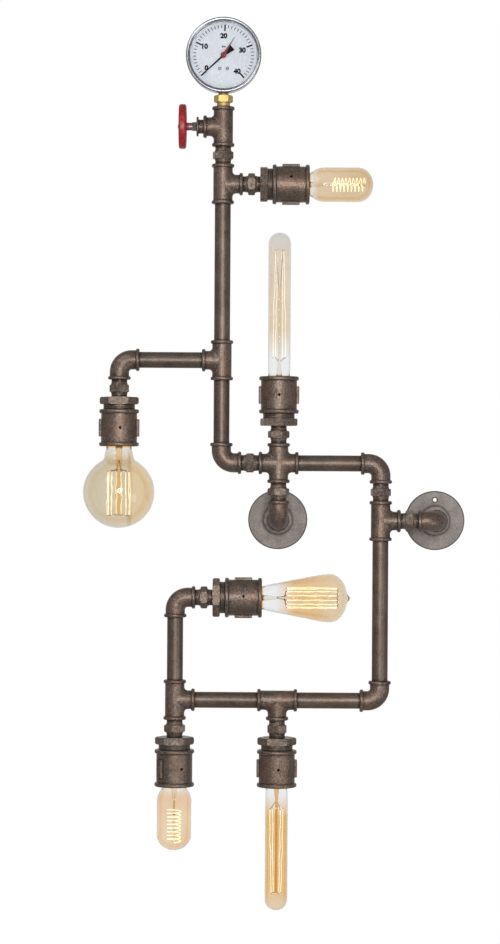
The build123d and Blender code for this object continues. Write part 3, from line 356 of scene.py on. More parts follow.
def grain_group():
    """Cast metal: fine grain, mottling, blotches, rusty patches, pits and a height made of them."""
    scales = {"Grain scale": 900.0, "Mottle scale": 330.0, "Blotch scale": 60.0}
    masks = ("Grain", "Mottle", "Blotch", "Rust", "Pits", "Height")
    group, source, sink = shader_group("cast grain", scales, masks)
    where = own_place(group)
    links = {"Vector": where, "Scale": source["Mottle scale"]}
    pits = node_in(group, "ShaderNodeTexVoronoi", links, Randomness=1.0)
    grain = noise_in(group, where, source["Grain scale"], 5.0, 0.7)
    mottle = noise_in(group, where, source["Mottle scale"], 4.0, 0.75)
    blotch = noise_in(group, where, source["Blotch scale"], 6.0)
    rust = noise_in(group, where, 38.0, 7.0, 0.7)
    pit_mask = ranged(group, pits.outputs["Distance"], 0.05, 0.3)
    height = worked_out(group, "ADD", worked_out(group, "ADD", grain, mottle), pit_mask)
    for label, value in zip(masks, (grain, mottle, blotch, rust, pit_mask, height)):
        group.links.new(value, sink[label])
    return group


def wear_group():
    """Wear on outer edges, broken up by noise, and painted shade in inner corners."""
    reaches = {"Edge radius": 0.6 * MM, "Break up": 300.0, "Grime reach": 4.0 * MM}
    group, source, sink = shader_group("edge wear", reaches, ("Wear", "Grime"))
    rounded = node_in(group, "ShaderNodeBevel", {"Radius": source["Edge radius"]}, samples=6)
    surface = node_in(group, "ShaderNodeNewGeometry")
    facing = vector_worked_out(group, "DOT_PRODUCT", rounded.outputs["Normal"], surface.outputs["Normal"])
    edge = ranged(group, facing, 0.995, 0.90)
    broken = ranged(group, noise_in(group, own_place(group), source["Break up"], 4.0, 0.65), 0.35, 0.6)
    # The occlusion below is painted shade: it darkens inner corners and the joins between parts.
    corner = node_in(group, "ShaderNodeAmbientOcclusion", {"Distance": source["Grime reach"]}, samples=8)
    hollow = corner.outputs["AO"]
    open_side = ranged(group, hollow, 0.97, 0.6, 1.0, 0.0)
    wear = worked_out(group, "MULTIPLY", worked_out(group, "MULTIPLY", edge, broken), open_side)
    group.links.new(wear, sink["Wear"])
    group.links.new(ranged(group, hollow, 0.95, 0.45), sink["Grime"])
    return group


# ------ finishes
def blank_finish(name, **values):
    """A new material: its nodes and its Principled shader, with the shader's plain values set."""
    material = bpy.data.materials.new(name)
    material.use_nodes = True
    shader = material.node_tree.nodes["Principled BSDF"]
    for key, value in values.items():
        shader.inputs[key.replace("_", " ")].default_value = value
    return material.node_tree, shader


def metal_finish(
    groups, name, colour, worn, rough, bump, scales, wear=0.7, contrast=0.3, speckle=0.3, rust=0.0, grime=0.0,
    **values
):
    """A metal or paint with blotches, mottling, grain, pits, rusty patches and worn edges, painted glints in
    its bright mottle and painted shade in its inner corners.
    """
    tree, shader = blank_finish(name, **values)
    links = dict(zip(("Grain scale", "Mottle scale", "Blotch scale"), scales))
    marks = node_in(tree, "ShaderNodeGroup", links, node_tree=groups[0]).outputs
    edges = node_in(tree, "ShaderNodeGroup", node_tree=groups[1]).outputs
    dark, bright = shade(colour, 1.0 - contrast), shade(colour, 1.0 + contrast)
    look = mixed(tree, ranged(tree, marks["Blotch"], 0.35, 0.68), dark, bright)
    rusty = [part * factor for part, factor in zip(colour, (1.25, 0.93, 0.74))]
    # Each layer's mask, where the mask starts and ends, the layer's share and its colour.
    layers = (
        (marks["Mottle"], 0.52, 0.36, speckle, shade(colour, 0.25)),
        # The bright mottle is partly mottled metal and partly painted glints on the rough surface.
        (marks["Mottle"], 0.53, 0.66, speckle, shade(colour, 2.6)),
        (marks["Grain"], 0.55, 0.75, 0.4, shade(colour, 1.9)),
        (marks["Rust"], 0.45, 0.62, rust, rusty),
        (marks["Pits"], 0.5, 0.0, 0.5, shade(colour, 0.4)),
        (edges["Wear"], 0.0, 1.0, wear, worn),
        # Painted shade: this layer darkens the colour in inner corners and between parts, where the occlusion
        # finds them.
        (edges["Grime"], 0.0, 1.0, grime, shade(colour, 0.12)),
    )
    for mask, start, end, share, tone in layers:
        if share:
            look = mixed(tree, ranged(tree, mask, start, end, 0.0, share), look, tone)
    tree.links.new(look, shader.inputs["Base Color"])
    tree.links.new(ranged(tree, marks["Mottle"], 0.35, 0.65, *rough), shader.inputs["Roughness"])
    relief(tree, shader, marks["Height"], bump, 0.3)


def darkened(name, first_x, last_x, z, start, end, share, tone):
    """Darkens a finish by its distance from the nearer of two axes that run front to back at one height."""
    tree = bpy.data.materials[name].node_tree
    shader = tree.nodes["Principled BSDF"]
    plain = shader.inputs["Base Color"].links[0].from_socket
    axes = own_axes(tree)
    middle, half = (first_x + last_x) / 2, (last_x - first_x) / 2
    folded = worked_out(tree, "ABSOLUTE", worked_out(tree, "SUBTRACT", axes["X"], middle * MM))
    across = worked_out(tree, "SUBTRACT", folded, half * MM)
    rise = worked_out(tree, "SUBTRACT", axes["Z"], z * MM)
    radial = node_in(tree, "ShaderNodeCombineXYZ", {"X": across, "Z": rise})
    reach = vector_worked_out(tree, "LENGTH", radial.outputs[0])
    dark = ranged(tree, reach, start * MM, end * MM, 0.0, share)
    tree.links.new(mixed(tree, dark, plain, tone), shader.inputs["Base Color"])


def glass_finish(name, colour, rim, gleam=0.1, rough=0.02, wavy=0.12):
    """Blown glass, deeper in colour where it is seen edge on."""
    tree, shader = blank_finish(
        name, Transmission_Weight=1.0, IOR=1.38, Roughness=rough, Metallic=0.0,
        Specular_Tint=(gleam, gleam, gleam, 1.0),
    )
    edge = node_in(tree, "ShaderNodeLayerWeight", Blend=0.3)
    tone = ranged(tree, edge.outputs["Facing"], 0.3, 0.95)
    tree.links.new(mixed(tree, tone, colour, rim), shader.inputs["Base Color"])
    relief(tree, shader, noise_in(tree, own_place(tree), 35.0, 1.0, 0.5), wavy, 0.6)
    return tree, shader


def globe_reflection_tones(tree, side, middle, film):
    """Painted light on the globe: greyer glass on its left, warmer glass on its right as the light falls, and
    a dark line between them at a painted reflection's edge.
    """
    # Where a tone starts and where it is full, in millimetres right of the middle, its share and its colour.
    for start, end, share, tone in (
        (12.0, -30.0, 0.5, (0.74, 0.72, 0.62)),
        (14.0, 18.0, 0.6, (0.88, 0.76, 0.58)),
    ):
        film = mixed(tree, ranged(tree, side, middle + start * MM, middle + end * MM, 0.0, share), film, tone)
    # The dark line is painted: it marks the edge of a painted reflection on the glass.
    from_reflection_edge = worked_out(tree, "ABSOLUTE", worked_out(tree, "SUBTRACT", side, middle + 14.5 * MM))
    reflection_edge = ranged(tree, from_reflection_edge, 3.2 * MM, 0.8 * MM, 0.0, 0.55)
    return mixed(tree, reflection_edge, film, (0.66, 0.58, 0.42))


def outline_tones(tree, facing, deep_tone):
    """Tones over a bulb from its middle to its outline: plain, deep, plain again and a painted grey shade at
    the rim.
    """
    ramp = node_in(tree, "ShaderNodeValToRGB", {"Fac": facing})
    stops = [(0.26, (1.0, 1.0, 1.0)), (0.36, deep_tone), (0.46, deep_tone)]
    stops += [(0.56, (1.0, 1.02, 1.06)), (0.72, (0.97, 0.99, 1.05)), (0.9, (0.72, 0.74, 0.78))]
    elements = ramp.color_ramp.elements
    while len(elements) < len(stops):
        elements.new(0.5)
    for element, (position, tone) in zip(elements, stops):
        element.position = position
        element.color = (*tone, 1.0)
    return ramp.outputs["Color"]


def bulb_finish(lamp, colour, clear_to, coloured_from, neck_glow_tone=(0.95, 0.72, 0.4)):
    """Tinted bulb glass: clear at the neck, deep in tone near its outline, pale at some bulbs' tips, with a
    painted warm glow at the coupling's face.
    """
    tree, shader = glass_finish(lamp + " glass", colour, colour, gleams.get(lamp, common_gleam))
    matrix = lamp_place(lamp)
    axis = matrix.col[2].to_3d()
    where = own_place(tree)
    along = vector_worked_out(tree, "DOT_PRODUCT", where, axis)
    foot = matrix.translation.dot(axis) + face * MM
    cloudy = ranged(tree, noise_in(tree, where, 16.0, 2.0), 0.35, 0.65, 0.0, 0.5)
    film = mixed(tree, cloudy, colour, mixed(tree, 0.6, colour, (1.0, 0.97, 0.9)))
    # The globe's glass takes painted light and a painted reflection's edge across it.
    if lamp == "globe":
        film = globe_reflection_tones(tree, own_axes(tree)["X"], matrix.translation.x, film)
    facing = node_in(tree, "ShaderNodeLayerWeight", Blend=0.5).outputs["Facing"]
    outlined = mixed(tree, 1.0, film, outline_tones(tree, facing, deep_tones[lamp]), "MULTIPLY")
    # Painted shade: the clear neck greys towards its outline.
    clear = mixed(tree, ranged(tree, facing, 0.45, 0.85), (0.91, 0.915, 0.92), (0.6, 0.6, 0.6))
    tint = ranged(tree, along, foot + clear_to * MM, foot + coloured_from * MM)
    tinted = mixed(tree, tint, clear, outlined)
    if lamp in pale_tips:
        start, end, tone = pale_tips[lamp]
        tip = ranged(tree, along, foot + start * MM, foot + end * MM, 0.0, 0.8)
        tinted = mixed(tree, tip, tinted, tone)
    # Painted glow: the glass turns warm just above the coupling's face, as if lit from inside the lampholder.
    warm = ranged(tree, along, foot + 2.2 * MM, foot + 1.2 * MM)
    tree.links.new(mixed(tree, warm, tinted, neck_glow_tone), shader.inputs["Base Color"])


def finishes():
    """Every finish by its name, made once."""
    if "pipe steel" in bpy.data.materials:
        return bpy.data.materials
    c = bpy.context.scene.pipe_light_colours
    groups = (grain_group(), wear_group())
    plain = (900.0, 330.0, 60.0)
    # Name, colour, worn edges' colour, roughness, relief, scales of grain, mottle and blotches, and the rest.
    # grime sets how strongly painted shade darkens each finish's inner corners.
    for name, colour, worn, rough, bump, scales, others in (
        ("pipe steel", c.pipe, c.worn, (0.28, 0.48), 0.5, (1100.0, 620.0, 45.0), dict(
            speckle=0.5, rust=0.45, grime=0.9, Metallic=0.7, Specular_IOR_Level=0.25)),
        ("fitting casting", c.casting, c.worn, (0.25, 0.45), 0.9, (700.0, 560.0, 70.0), dict(
            speckle=0.65, rust=0.45, grime=0.95, Metallic=0.72, Specular_IOR_Level=0.25)),
        ("worn hexagon", c.hexagon, c.worn, (0.28, 0.48), 1.0, (600.0, 520.0, 160.0), dict(
            wear=0.95, contrast=0.4, speckle=0.8, rust=0.4, grime=0.95, Metallic=0.6,
            Specular_IOR_Level=0.25)),
        ("rose casting", c.rose, c.worn, (0.5, 0.7), 0.45, (620.0, 420.0, 90.0), dict(
            wear=0.3, contrast=0.22, speckle=0.32, grime=0.95, Metallic=0.35, Specular_IOR_Level=0.25)),
        # The set screws are painted near black to stand in for the shade inside their tapped holes.
        ("set screw", (0.006, 0.006, 0.006), (0.02, 0.018, 0.015), (0.85, 0.95), 0.2, plain, dict(
            Specular_IOR_Level=0.1)),
        ("thread steel", shade(c.pipe, 1.05), c.worn, (0.28, 0.42), 0.2, plain, dict(
            grime=0.55, Metallic=0.7)),
        ("stem brass", c.brass, shade(c.brass, 1.3), (0.5, 0.6), 0.15, (500.0, 260.0, 120.0), dict(
            wear=0.5, contrast=0.12, speckle=0.15, grime=0.6, Metallic=0.75)),
        ("holder brass", shade(c.brass, 0.8), c.brass, (0.3, 0.45), 0.15, (400.0, 330.0, 60.0), dict(
            Metallic=1.0)),
        ("bezel steel", (0.31, 0.315, 0.34), (0.6, 0.6, 0.62), (0.24, 0.34), 0.05, (1500.0, 330.0, 30.0),
         dict(wear=0.3, contrast=0.08, speckle=0.08, grime=0.5, Metallic=1.0)),
        ("spacer grey", (0.60, 0.61, 0.64), (0.7, 0.7, 0.72), (0.5, 0.6), 0.05, plain, dict(speckle=0.1)),
        ("gland steel", (0.24, 0.21, 0.20), (0.5, 0.47, 0.44), (0.35, 0.5), 0.4, (700.0, 330.0, 200.0), dict(
            Metallic=0.85)),
        ("zinc screw", (0.5, 0.5, 0.5), (0.7, 0.7, 0.7), (0.3, 0.4), 0.1, plain, dict(Metallic=1.0)),
        ("wheel paint", c.wheel, (0.62, 0.38, 0.36), (0.3, 0.46), 0.55, (420.0, 330.0, 130.0), dict(
            wear=0.85, contrast=0.35, speckle=0.45, grime=0.8, Specular_IOR_Level=0.35, Coat_Weight=0.15,
            Coat_Roughness=0.25)),
        ("hand black", (0.006, 0.006, 0.007), (0.03, 0.03, 0.03), (0.6, 0.7), 0.05, plain, dict(
            Specular_IOR_Level=0.15)),
        ("hand red", (0.22, 0.007, 0.016), (0.30, 0.03, 0.04), (0.35, 0.45), 0.05, plain, {}),
        ("dial enamel", c.dial, shade(c.dial, 1.05), (0.4, 0.5), 0.02, (300.0, 330.0, 20.0), dict(
            wear=0.0, contrast=0.03, speckle=0.02)),
        ("dial print", (0.008, 0.008, 0.01), (0.02, 0.02, 0.02), (0.7, 0.8), 0.02, plain, dict(
            Specular_IOR_Level=0.1)),
        ("porcelain", (0.62, 0.58, 0.5), (0.7, 0.68, 0.62), (0.2, 0.3), 0.05, (300.0, 330.0, 60.0), {}),
        ("cable sheath", (0.02, 0.02, 0.02), (0.05, 0.05, 0.05), (0.5, 0.6), 0.1, plain, {}),
        ("support wire", (0.10, 0.085, 0.07), (0.2, 0.18, 0.15), (0.4, 0.5), 0.1, plain, dict(Metallic=0.8)),
    ):
        metal_finish(groups, name, colour, worn, rough, bump, scales, **others)
    # The roses lie at Z 0, one of them at the origin, and have painted shade along their rims; the set hand
    # blackens to its tip.
    rim = (rose_radius - 2.2, rose_radius - 0.8)
    darkened("rose casting", 0.0, wall_right_x, 0.0, *rim, 0.9, shade(c.rose, 0.25))
    darkened("hand red", left_x, left_x, gauge_z, 14.0, 22.0, 0.85, (0.01, 0.006, 0.007))
    # Each bulb's clear neck ends and its full tint starts at these heights.
    bulb_finish("top_tubular", c.tubular, 2.0, 12.0)
    bulb_finish("lower_tubular", mellow(c.tubular), 2.0, 12.0)
    bulb_finish("globe", c.globe, 0.0, 16.0)
    bulb_finish("teardrop", c.teardrop, 18.0, 44.0)
    bulb_finish("short_slim", c.short_slim, 10.0, 40.0)
    bulb_finish("long_slim", c.long_slim, 22.0, 62.0, (0.8, 0.76, 0.68))
    for name, colour, rim in (
        ("stem glass", (0.93, 0.86, 0.74), (0.62, 0.53, 0.42)),
        ("amber stem", (1.0, 0.80, 0.50), (0.86, 0.58, 0.30)),
        ("brown stem", (0.84, 0.58, 0.28), (0.58, 0.34, 0.13)),
    ):
        glass_finish(name, colour, rim, gleam=0.05, rough=0.22, wavy=0.0)
    glass_finish("window glass", (0.99, 1.0, 1.0), (0.9, 0.93, 0.94))
    for name, strength in (("glowing filament", c.glow_strength), ("faint filament", 0.75 * c.glow_strength)):
        tree, shader = blank_finish(
            name, Roughness=0.5, Emission_Strength=strength, Base_Color=(0.4, 0.25, 0.1, 1.0)
        )
        heat = ranged(tree, noise_in(tree, own_place(tree), 220.0, 2.0), 0.35, 0.65)
        tree.links.new(mixed(tree, heat, shade(c.glow, 0.6), c.glow), shader.inputs["Emission Color"])
    return bpy.data.materials


# ------ what a user may change
def colour_property(name, description, default):
    return bpy.props.FloatVectorProperty(
        name=name, description=description, subtype="COLOR", size=4, min=0.0, max=1.0, default=(*default, 1.0)
    )


class PipeLightColours(bpy.types.PropertyGroup):
    """Colours of the light's finishes."""

    pipe: colour_property("Pipe", "Bronzed steel of the pipes", (0.121, 0.096, 0.077))
    casting: colour_property("Castings", "Bronzed malleable fittings and sockets", (0.148, 0.113, 0.092))
    hexagon: colour_property("Hexagons", "Nipples' and bushes' hexagons", (0.152, 0.118, 0.095))
    rose: colour_property("Roses", "The two wall roses", (0.224, 0.199, 0.184))
    worn: colour_property("Worn edges", "Bare metal on rubbed edges", (0.33, 0.29, 0.25))
    brass: colour_property("Brass", "Gauge stem and lampholders", (0.65, 0.485, 0.19))
    wheel: colour_property("Handwheel", "Paint of the valve handwheel", (0.30, 0.010, 0.016))
    dial: colour_property("Dial", "Enamel of the gauge's dial", (0.70, 0.722, 0.775))
    tubular: colour_property("Tubular glass", "Tint of the two short tubular bulbs", (0.816, 0.697, 0.55))
    globe: colour_property("Globe glass", "Tint of the globe bulb", (0.81, 0.727, 0.604))
    teardrop: colour_property("Teardrop glass", "Tint of the teardrop bulb", (0.86, 0.695, 0.50))
    short_slim: colour_property("Short tube glass", "Tint of the short slim bulb", (0.84, 0.69, 0.48))
    long_slim: colour_property("Long tube glass", "Tint of the long slim bulb", (0.817, 0.755, 0.671))
    glow: colour_property("Glow", "Colour of the lit filaments", (1.0, 0.87, 0.62))
    glow_strength: bpy.props.FloatProperty(
        name="Glow strength", description="Brightness of the lit filaments", default=3.2, min=0.0
    )


def length_property(name, description, millimetres):
    return bpy.props.FloatProperty(
        name=name, description=description, default=millimetres * MM, min=0.0, unit="LENGTH"
    )


class PipeLightSizes(bpy.types.PropertyGroup):
    """Sizes of the modelled details."""

    pipe_pitch: length_property("Nipple thread pitch", "Crest to crest on the nipples", 1.814)
    bush_pitch: length_property("Bush thread pitch", "Crest to crest on the bushes", 2.309)
    thread_height: length_property("Thread height", "Root to crest of the threads", 0.6)
    glass_wall: length_property("Glass wall", "Thickness of the bulbs' glass", 0.8)
    filament_wire: length_property("Filament wire", "Thickness of the filament", 0.36)
    support_wire: length_property("Support wire", "Thickness of the filament's supports", 0.6)
    numeral_height: length_property("Dial numerals", "Height of the dial's numerals", 6.4)


# ------ operators
# The stage, in metres and degrees: the camera, then each light's place, size and power.
camera_spot, camera_turn = (-0.0379, -3.815, 0.0641), (90.0, -0.35, 0.0)
camera_lens, camera_sensor = 107.5, 36.0
lights = {
    "front softbox": ((0.05, -2.7, 0.3), 0.9, 42.0),
    "high fill": ((-1.3, -1.6, 1.7), 1.2, 14.0),
    "low fill": ((1.5, -1.5, -0.7), 1.2, 10.0),
}
lights_aim = Vector((-0.03, -0.06, 0.06))
room_grey, room_white = (0.36, 0.36, 0.36), (1.0, 1.0, 1.0)
floor_radius, floor_z = 0.95, -0.76


class PIPELIGHT_OT_stage(bpy.types.Operator):
    """Camera, soft lights, pale world and floor."""

    bl_idname = "pipe_light.stage"
    bl_label = "Stage"

    def execute(self, context):
        scene = context.scene
        scene.view_settings.view_transform = "Standard"
        turn = [math.radians(angle) for angle in camera_turn]
        bpy.ops.object.camera_add(location=camera_spot, rotation=turn)
        camera = context.object
        camera.data.sensor_fit = "VERTICAL"
        camera.data.sensor_height = camera_sensor
        camera.data.lens = camera_lens
        scene.camera = camera
        for name, (spot, size, power) in lights.items():
            bpy.ops.object.light_add(type="AREA", location=spot)
            light = context.object
            light.name = name
            light.data.shape = "DISK"
            light.data.size = size
            light.data.energy = power
            light.visible_camera = False
            light.visible_transmission = False
            light.rotation_euler = (lights_aim - Vector(spot)).to_track_quat("-Z", "Y").to_euler()
        self.world(scene)
        self.floor()
        return {"FINISHED"}

    def world(self, scene):
        """White to the camera, through glass and in mirrors that face the back; grey to everything else."""
        world = bpy.data.worlds.new("pale room")
        scene.world = world
        world.use_nodes = True
        tree = world.node_tree
        ray = node_in(tree, "ShaderNodeLightPath").outputs
        where = node_in(tree, "ShaderNodeTexCoord").outputs["Generated"]
        axes = node_in(tree, "ShaderNodeSeparateXYZ", {"Vector": where}).outputs
        behind = ranged(tree, axes["Y"], 0.75, 0.97)
        mirrored = worked_out(tree, "MULTIPLY", ray["Is Glossy Ray"], behind)
        seen = worked_out(tree, "MAXIMUM", ray["Is Camera Ray"], ray["Is Transmission Ray"])
        white = worked_out(tree, "MAXIMUM", seen, mirrored)
        tree.links.new(mixed(tree, white, room_grey, room_white), tree.nodes["Background"].inputs["Color"])

    def floor(self):
        """A pale round floor that fades out towards its edge."""
        bpy.ops.object.select_all(action="DESELECT")
        bpy.ops.mesh.primitive_circle_add(
            vertices=96, radius=floor_radius, location=(0, 0, floor_z), fill_type="NGON"
        )
        floor = bpy.context.object
        floor.name = "floor"
        tree, shader = blank_finish("pale floor", Roughness=0.9)
        where = own_place(tree)
        dust = ranged(tree, noise_in(tree, where, 30.0, 2.0, 0.5), 0.3, 0.7)
        tone = mixed(tree, dust, (0.86, 0.86, 0.86), (0.9, 0.9, 0.9))
        tree.links.new(tone, shader.inputs["Base Color"])
        reach = vector_worked_out(tree, "LENGTH", where)
        tree.links.new(ranged(tree, reach, 0.9, 0.45, 0.0, 0.4), shader.inputs["Alpha"])
        floor.data.materials.append(bpy.data.materials["pale floor"])


class PIPELIGHT_OT_pipework(bpy.types.Operator):
    """Finishes of pipes, fittings, roses and what lies inside them."""

    bl_idname = "pipe_light.pipework"
    bl_label = "Pipework"

    def execute(self, context):
        for node in nodes:
            if node.startswith(("tee_", "cross_", "elbow_")):
                refine(node, "fitting casting")
            elif node.endswith(("_pipe", "_pipes")):
                refine(node, "pipe steel")
            elif node.startswith("wall_rose"):
                refine(node, "rose casting")
        refine("lamp_couplings", "fitting casting")
        for node in ("hex_nipples", "reducing_bushes"):
            refine(node, "worn hexagon", sharp=20.0)
        # Near-black set screws paint the shade inside the couplings' tapped holes.
        refinish("coupling_set_screws", "set screw")
        refinish("lampholder_insulators", "porcelain")
        refinish("lampholder_shells", "holder brass")
        refinish("wiring_harness", "cable sheath")
        return {"FINISHED"}


# Where crests show on a nipple and a bush: the pitch line's radius, and the heights they start and end at.
nipple_thread = (10.45, 0.1, 3.5)
bush_thread = (20.95, 32.7, 39.2)
# One crest: how far from the pitch line, as a share of the height, and where, as a share of the pitch.
crest_profile = ((-0.5, 0.05), (0.5, 0.42), (0.5, 0.58), (-0.5, 0.95))


class PIPELIGHT_OT_threads(bpy.types.Operator):
    """Thread crests where the nipples and bushes show them."""

    bl_idname = "pipe_light.threads"
    bl_label = "Threads"

    def ridges(self, name, radius, start, end, pitch, height, steps):
        """Thread crests between two heights, with their roots inside the plain metal."""
        outline = [(radius - height, start)]
        count = max(1, round((end - start) / pitch))
        step = (end - start) / count
        for crest in range(count):
            base = start + crest * step
            outline += [(radius + side * height, base + share * step) for side, share in crest_profile]
        outline.append((radius - height, end))
        return turned(name, outline + outline[:1], steps)

    def execute(self, context):
        sizes = context.scene.pipe_light_sizes
        height = sizes.thread_height / MM
        bushes = [lamp_place(name) for name in lamps]
        nipples = [
            place(left_x, top_lamp_z + fitting_reach, UP),
            place(left_x + fitting_reach, cross_z, RIGHT),
            place(0, cross_z - fitting_reach, DOWN),
            place(right_x, fitting_reach, UP),
            place(right_x + fitting_reach, 0, RIGHT),
            place(0, 0, FRONT, y=-rose_height),
            place(wall_right_x, 0, FRONT, y=-rose_height),
        ]
        far = Matrix.Translation((0, 0, nipple_gap * MM)) @ Matrix.Rotation(math.pi, 4, "X")
        ends = [matrix @ end for matrix in nipples + bushes for end in (Matrix.Identity(4), far)]
        ring = self.ridges("nipple_threads", *nipple_thread, sizes.pipe_pitch / MM, height, 40)
        dress(copies(ring, ends), "thread steel")
        ring = self.ridges("bush_threads", *bush_thread, sizes.bush_pitch / MM, height, 56)
        dress(copies(ring, bushes), "thread steel")
        return {"FINISHED"}


# ------ bulb outlines
def arc(centre, radius, start, end, steps):
    """Points on an arc between two angles in degrees."""
    points = []
    for step in range(steps + 1):
        turn = math.radians(start + (end - start) * step / steps)
        points.append((centre[0] + radius * math.cos(turn), centre[1] + radius * math.sin(turn)))
    return points


def dome(radius, base, height, steps=16, top=90.0):
    """A quarter ellipse up to the axis, or up to a lower top angle in degrees."""
    points = []
    for step in range(steps + 1):
        turn = math.radians(top * step / steps)
        points.append((radius * math.cos(turn), base + height * math.sin(turn)))
    if top == 90.0:
        points[-1] = (0.0, base + height)
    return points


# A bulb's straight foot, its flare's end and the slim tubes' size, in millimetres.
foot_radius, foot_depth, flare_depth, flare_rise = 11.7, 6.2, 1.2, 0.6
slim_radius = 15.2
# The teardrop's cone and the pip at its tip: radius and height from the coupling's face.
teardrop_cone = (
    (17.2, 6.0), (18.1, 10.5), (20.1, 20.5), (25.6, 49.0), (30.1, 72.0), (31.6, 80.0), (32.2, 85.5)
)
teardrop_pip = ((4.3, 114.2), (3.1, 115.8), (2.0, 117.2), (1.0, 117.7), (0.0, 117.8))


def neck(radius, inset):
    """The straight foot in the cap and the flare at the coupling's face."""
    foot = foot_radius - inset
    return [(foot, face - foot_depth), (foot, face - flare_depth), (radius - inset, face + flare_rise)]


def globe_outline(inset):
    """A ball on a short neck that hollows out into it."""
    radius = 47.6 - inset
    hollow = 9.0 + inset
    reach = radius + hollow
    side = 19.2 - inset + hollow
    drop = math.sqrt(reach**2 - side**2)
    middle = face + 61.0
    turn = math.degrees(math.atan2(drop, side))
    points = neck(16.7, inset)
    points += arc((side, middle - drop), hollow, 180.0, 180.0 - turn, 6)
    points += arc((0, middle), radius, -turn, 90.0, 30)[1:-1]
    return points + [(0.0, middle + radius)]


def tubular_outline(inset):
    """A wide tube whose shoulder bends out from the neck, with a flattened dome."""
    points = neck(14.7, inset)
    radius = 23.0 - inset
    full = face + 20.0
    step, rise = radius - points[-1][0], full - points[-1][1]
    bend = (step**2 + rise**2) / (2 * step)
    turn = math.degrees(math.asin(rise / bend))
    points += arc((radius - bend, full), bend, -turn, 0.0, 8)[1:]
    return points + dome(radius, face + 64.8, 20.0 - inset)


def teardrop_outline(inset):
    """The long cone with its round end; the outer skin runs up over the pip."""
    points = neck(15.3, inset) + [(radius - inset, face + height) for radius, height in teardrop_cone]
    widest, height = 32.4 - inset, 24.0 - inset
    if inset:
        return points + dome(widest, face + 90.0, height)
    points += dome(widest, face + 90.0, height, 14, 80.0)
    return points + [(radius, face + height) for radius, height in teardrop_pip]


def slim_outline(length):
    """A slim tube of one length with a round end."""
    def outline(inset):
        radius = slim_radius - inset
        points = neck(14.5, inset) + [(15.0 - inset, face + 12.0), (radius, face + 22.0)]
        return points + dome(radius, face + length - slim_radius, radius, 12)

    return outline


bulb_outlines = {
    "top_tubular": tubular_outline,
    "globe": globe_outline,
    "long_slim": slim_outline(191.6),
    "teardrop": teardrop_outline,
    "lower_tubular": tubular_outline,
    "short_slim": slim_outline(164.0),
}


class PIPELIGHT_OT_bulb_glass(bpy.types.Operator):
    """Blown glass of the six bulbs, with its wall, and their caps."""

    bl_idname = "pipe_light.bulb_glass"
    bl_label = "Bulb glass"

    def execute(self, context):
        wall = context.scene.pipe_light_sizes.glass_wall / MM
        for name, outline in bulb_outlines.items():
            skin = list(reversed(outline(wall))) + outline(0.0)
            piece = turned("bulb_" + name + "_envelope", skin, steps=72, sharp=60.0)
            seated(piece, lamp_place(name))
            dress(piece, name + " glass", "bulb_" + name)
            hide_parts("bulb_" + name + "_glass")
            refinish("bulb_" + name + "_cap", "holder brass")
        return {"FINISHED"}


# Cages: near and far radius, near and far height from the coupling's face, strands, first strand's angle.
cages = {
    "globe": (14.5, 15.2, 33.5, 92.0, 14, 10.0),
    "long_slim": (9.5, 6.0, 25.0, 168.0, 4, 60.0),
    "teardrop": (13.2, 13.2, 32.7, 101.0, 14, 10.0),
    "short_slim": (9.8, 7.2, 29.0, 141.0, 4, 60.0),
}
strand_steps = 14
coil_radius, coil_near, coil_far, coil_turns, coil_steps = 9.0, 30.0, 74.0, 9, 20
coil_thickness = 1.5                  # a coil's wire, in filament wires
# Stems: glass, share of the filament's height and radius at the far end.
stem_radius, lead_height = 1.7, 20.0
plain_stem = ("stem glass", 1.0, stem_radius)
stems = {
    "globe": ("amber stem", 1.0, 4.2),
    "short_slim": ("brown stem", 1.0, stem_radius),
    "long_slim": ("stem glass", 0.72, stem_radius),
}
hook_reach, hook_thickness = 0.5, 1.1


def on_ring(radius, angle, height):
    """A place at an angle in degrees and a height from the coupling's face."""
    turn = math.radians(angle)
    return (radius * math.cos(turn), radius * math.sin(turn), face + height)


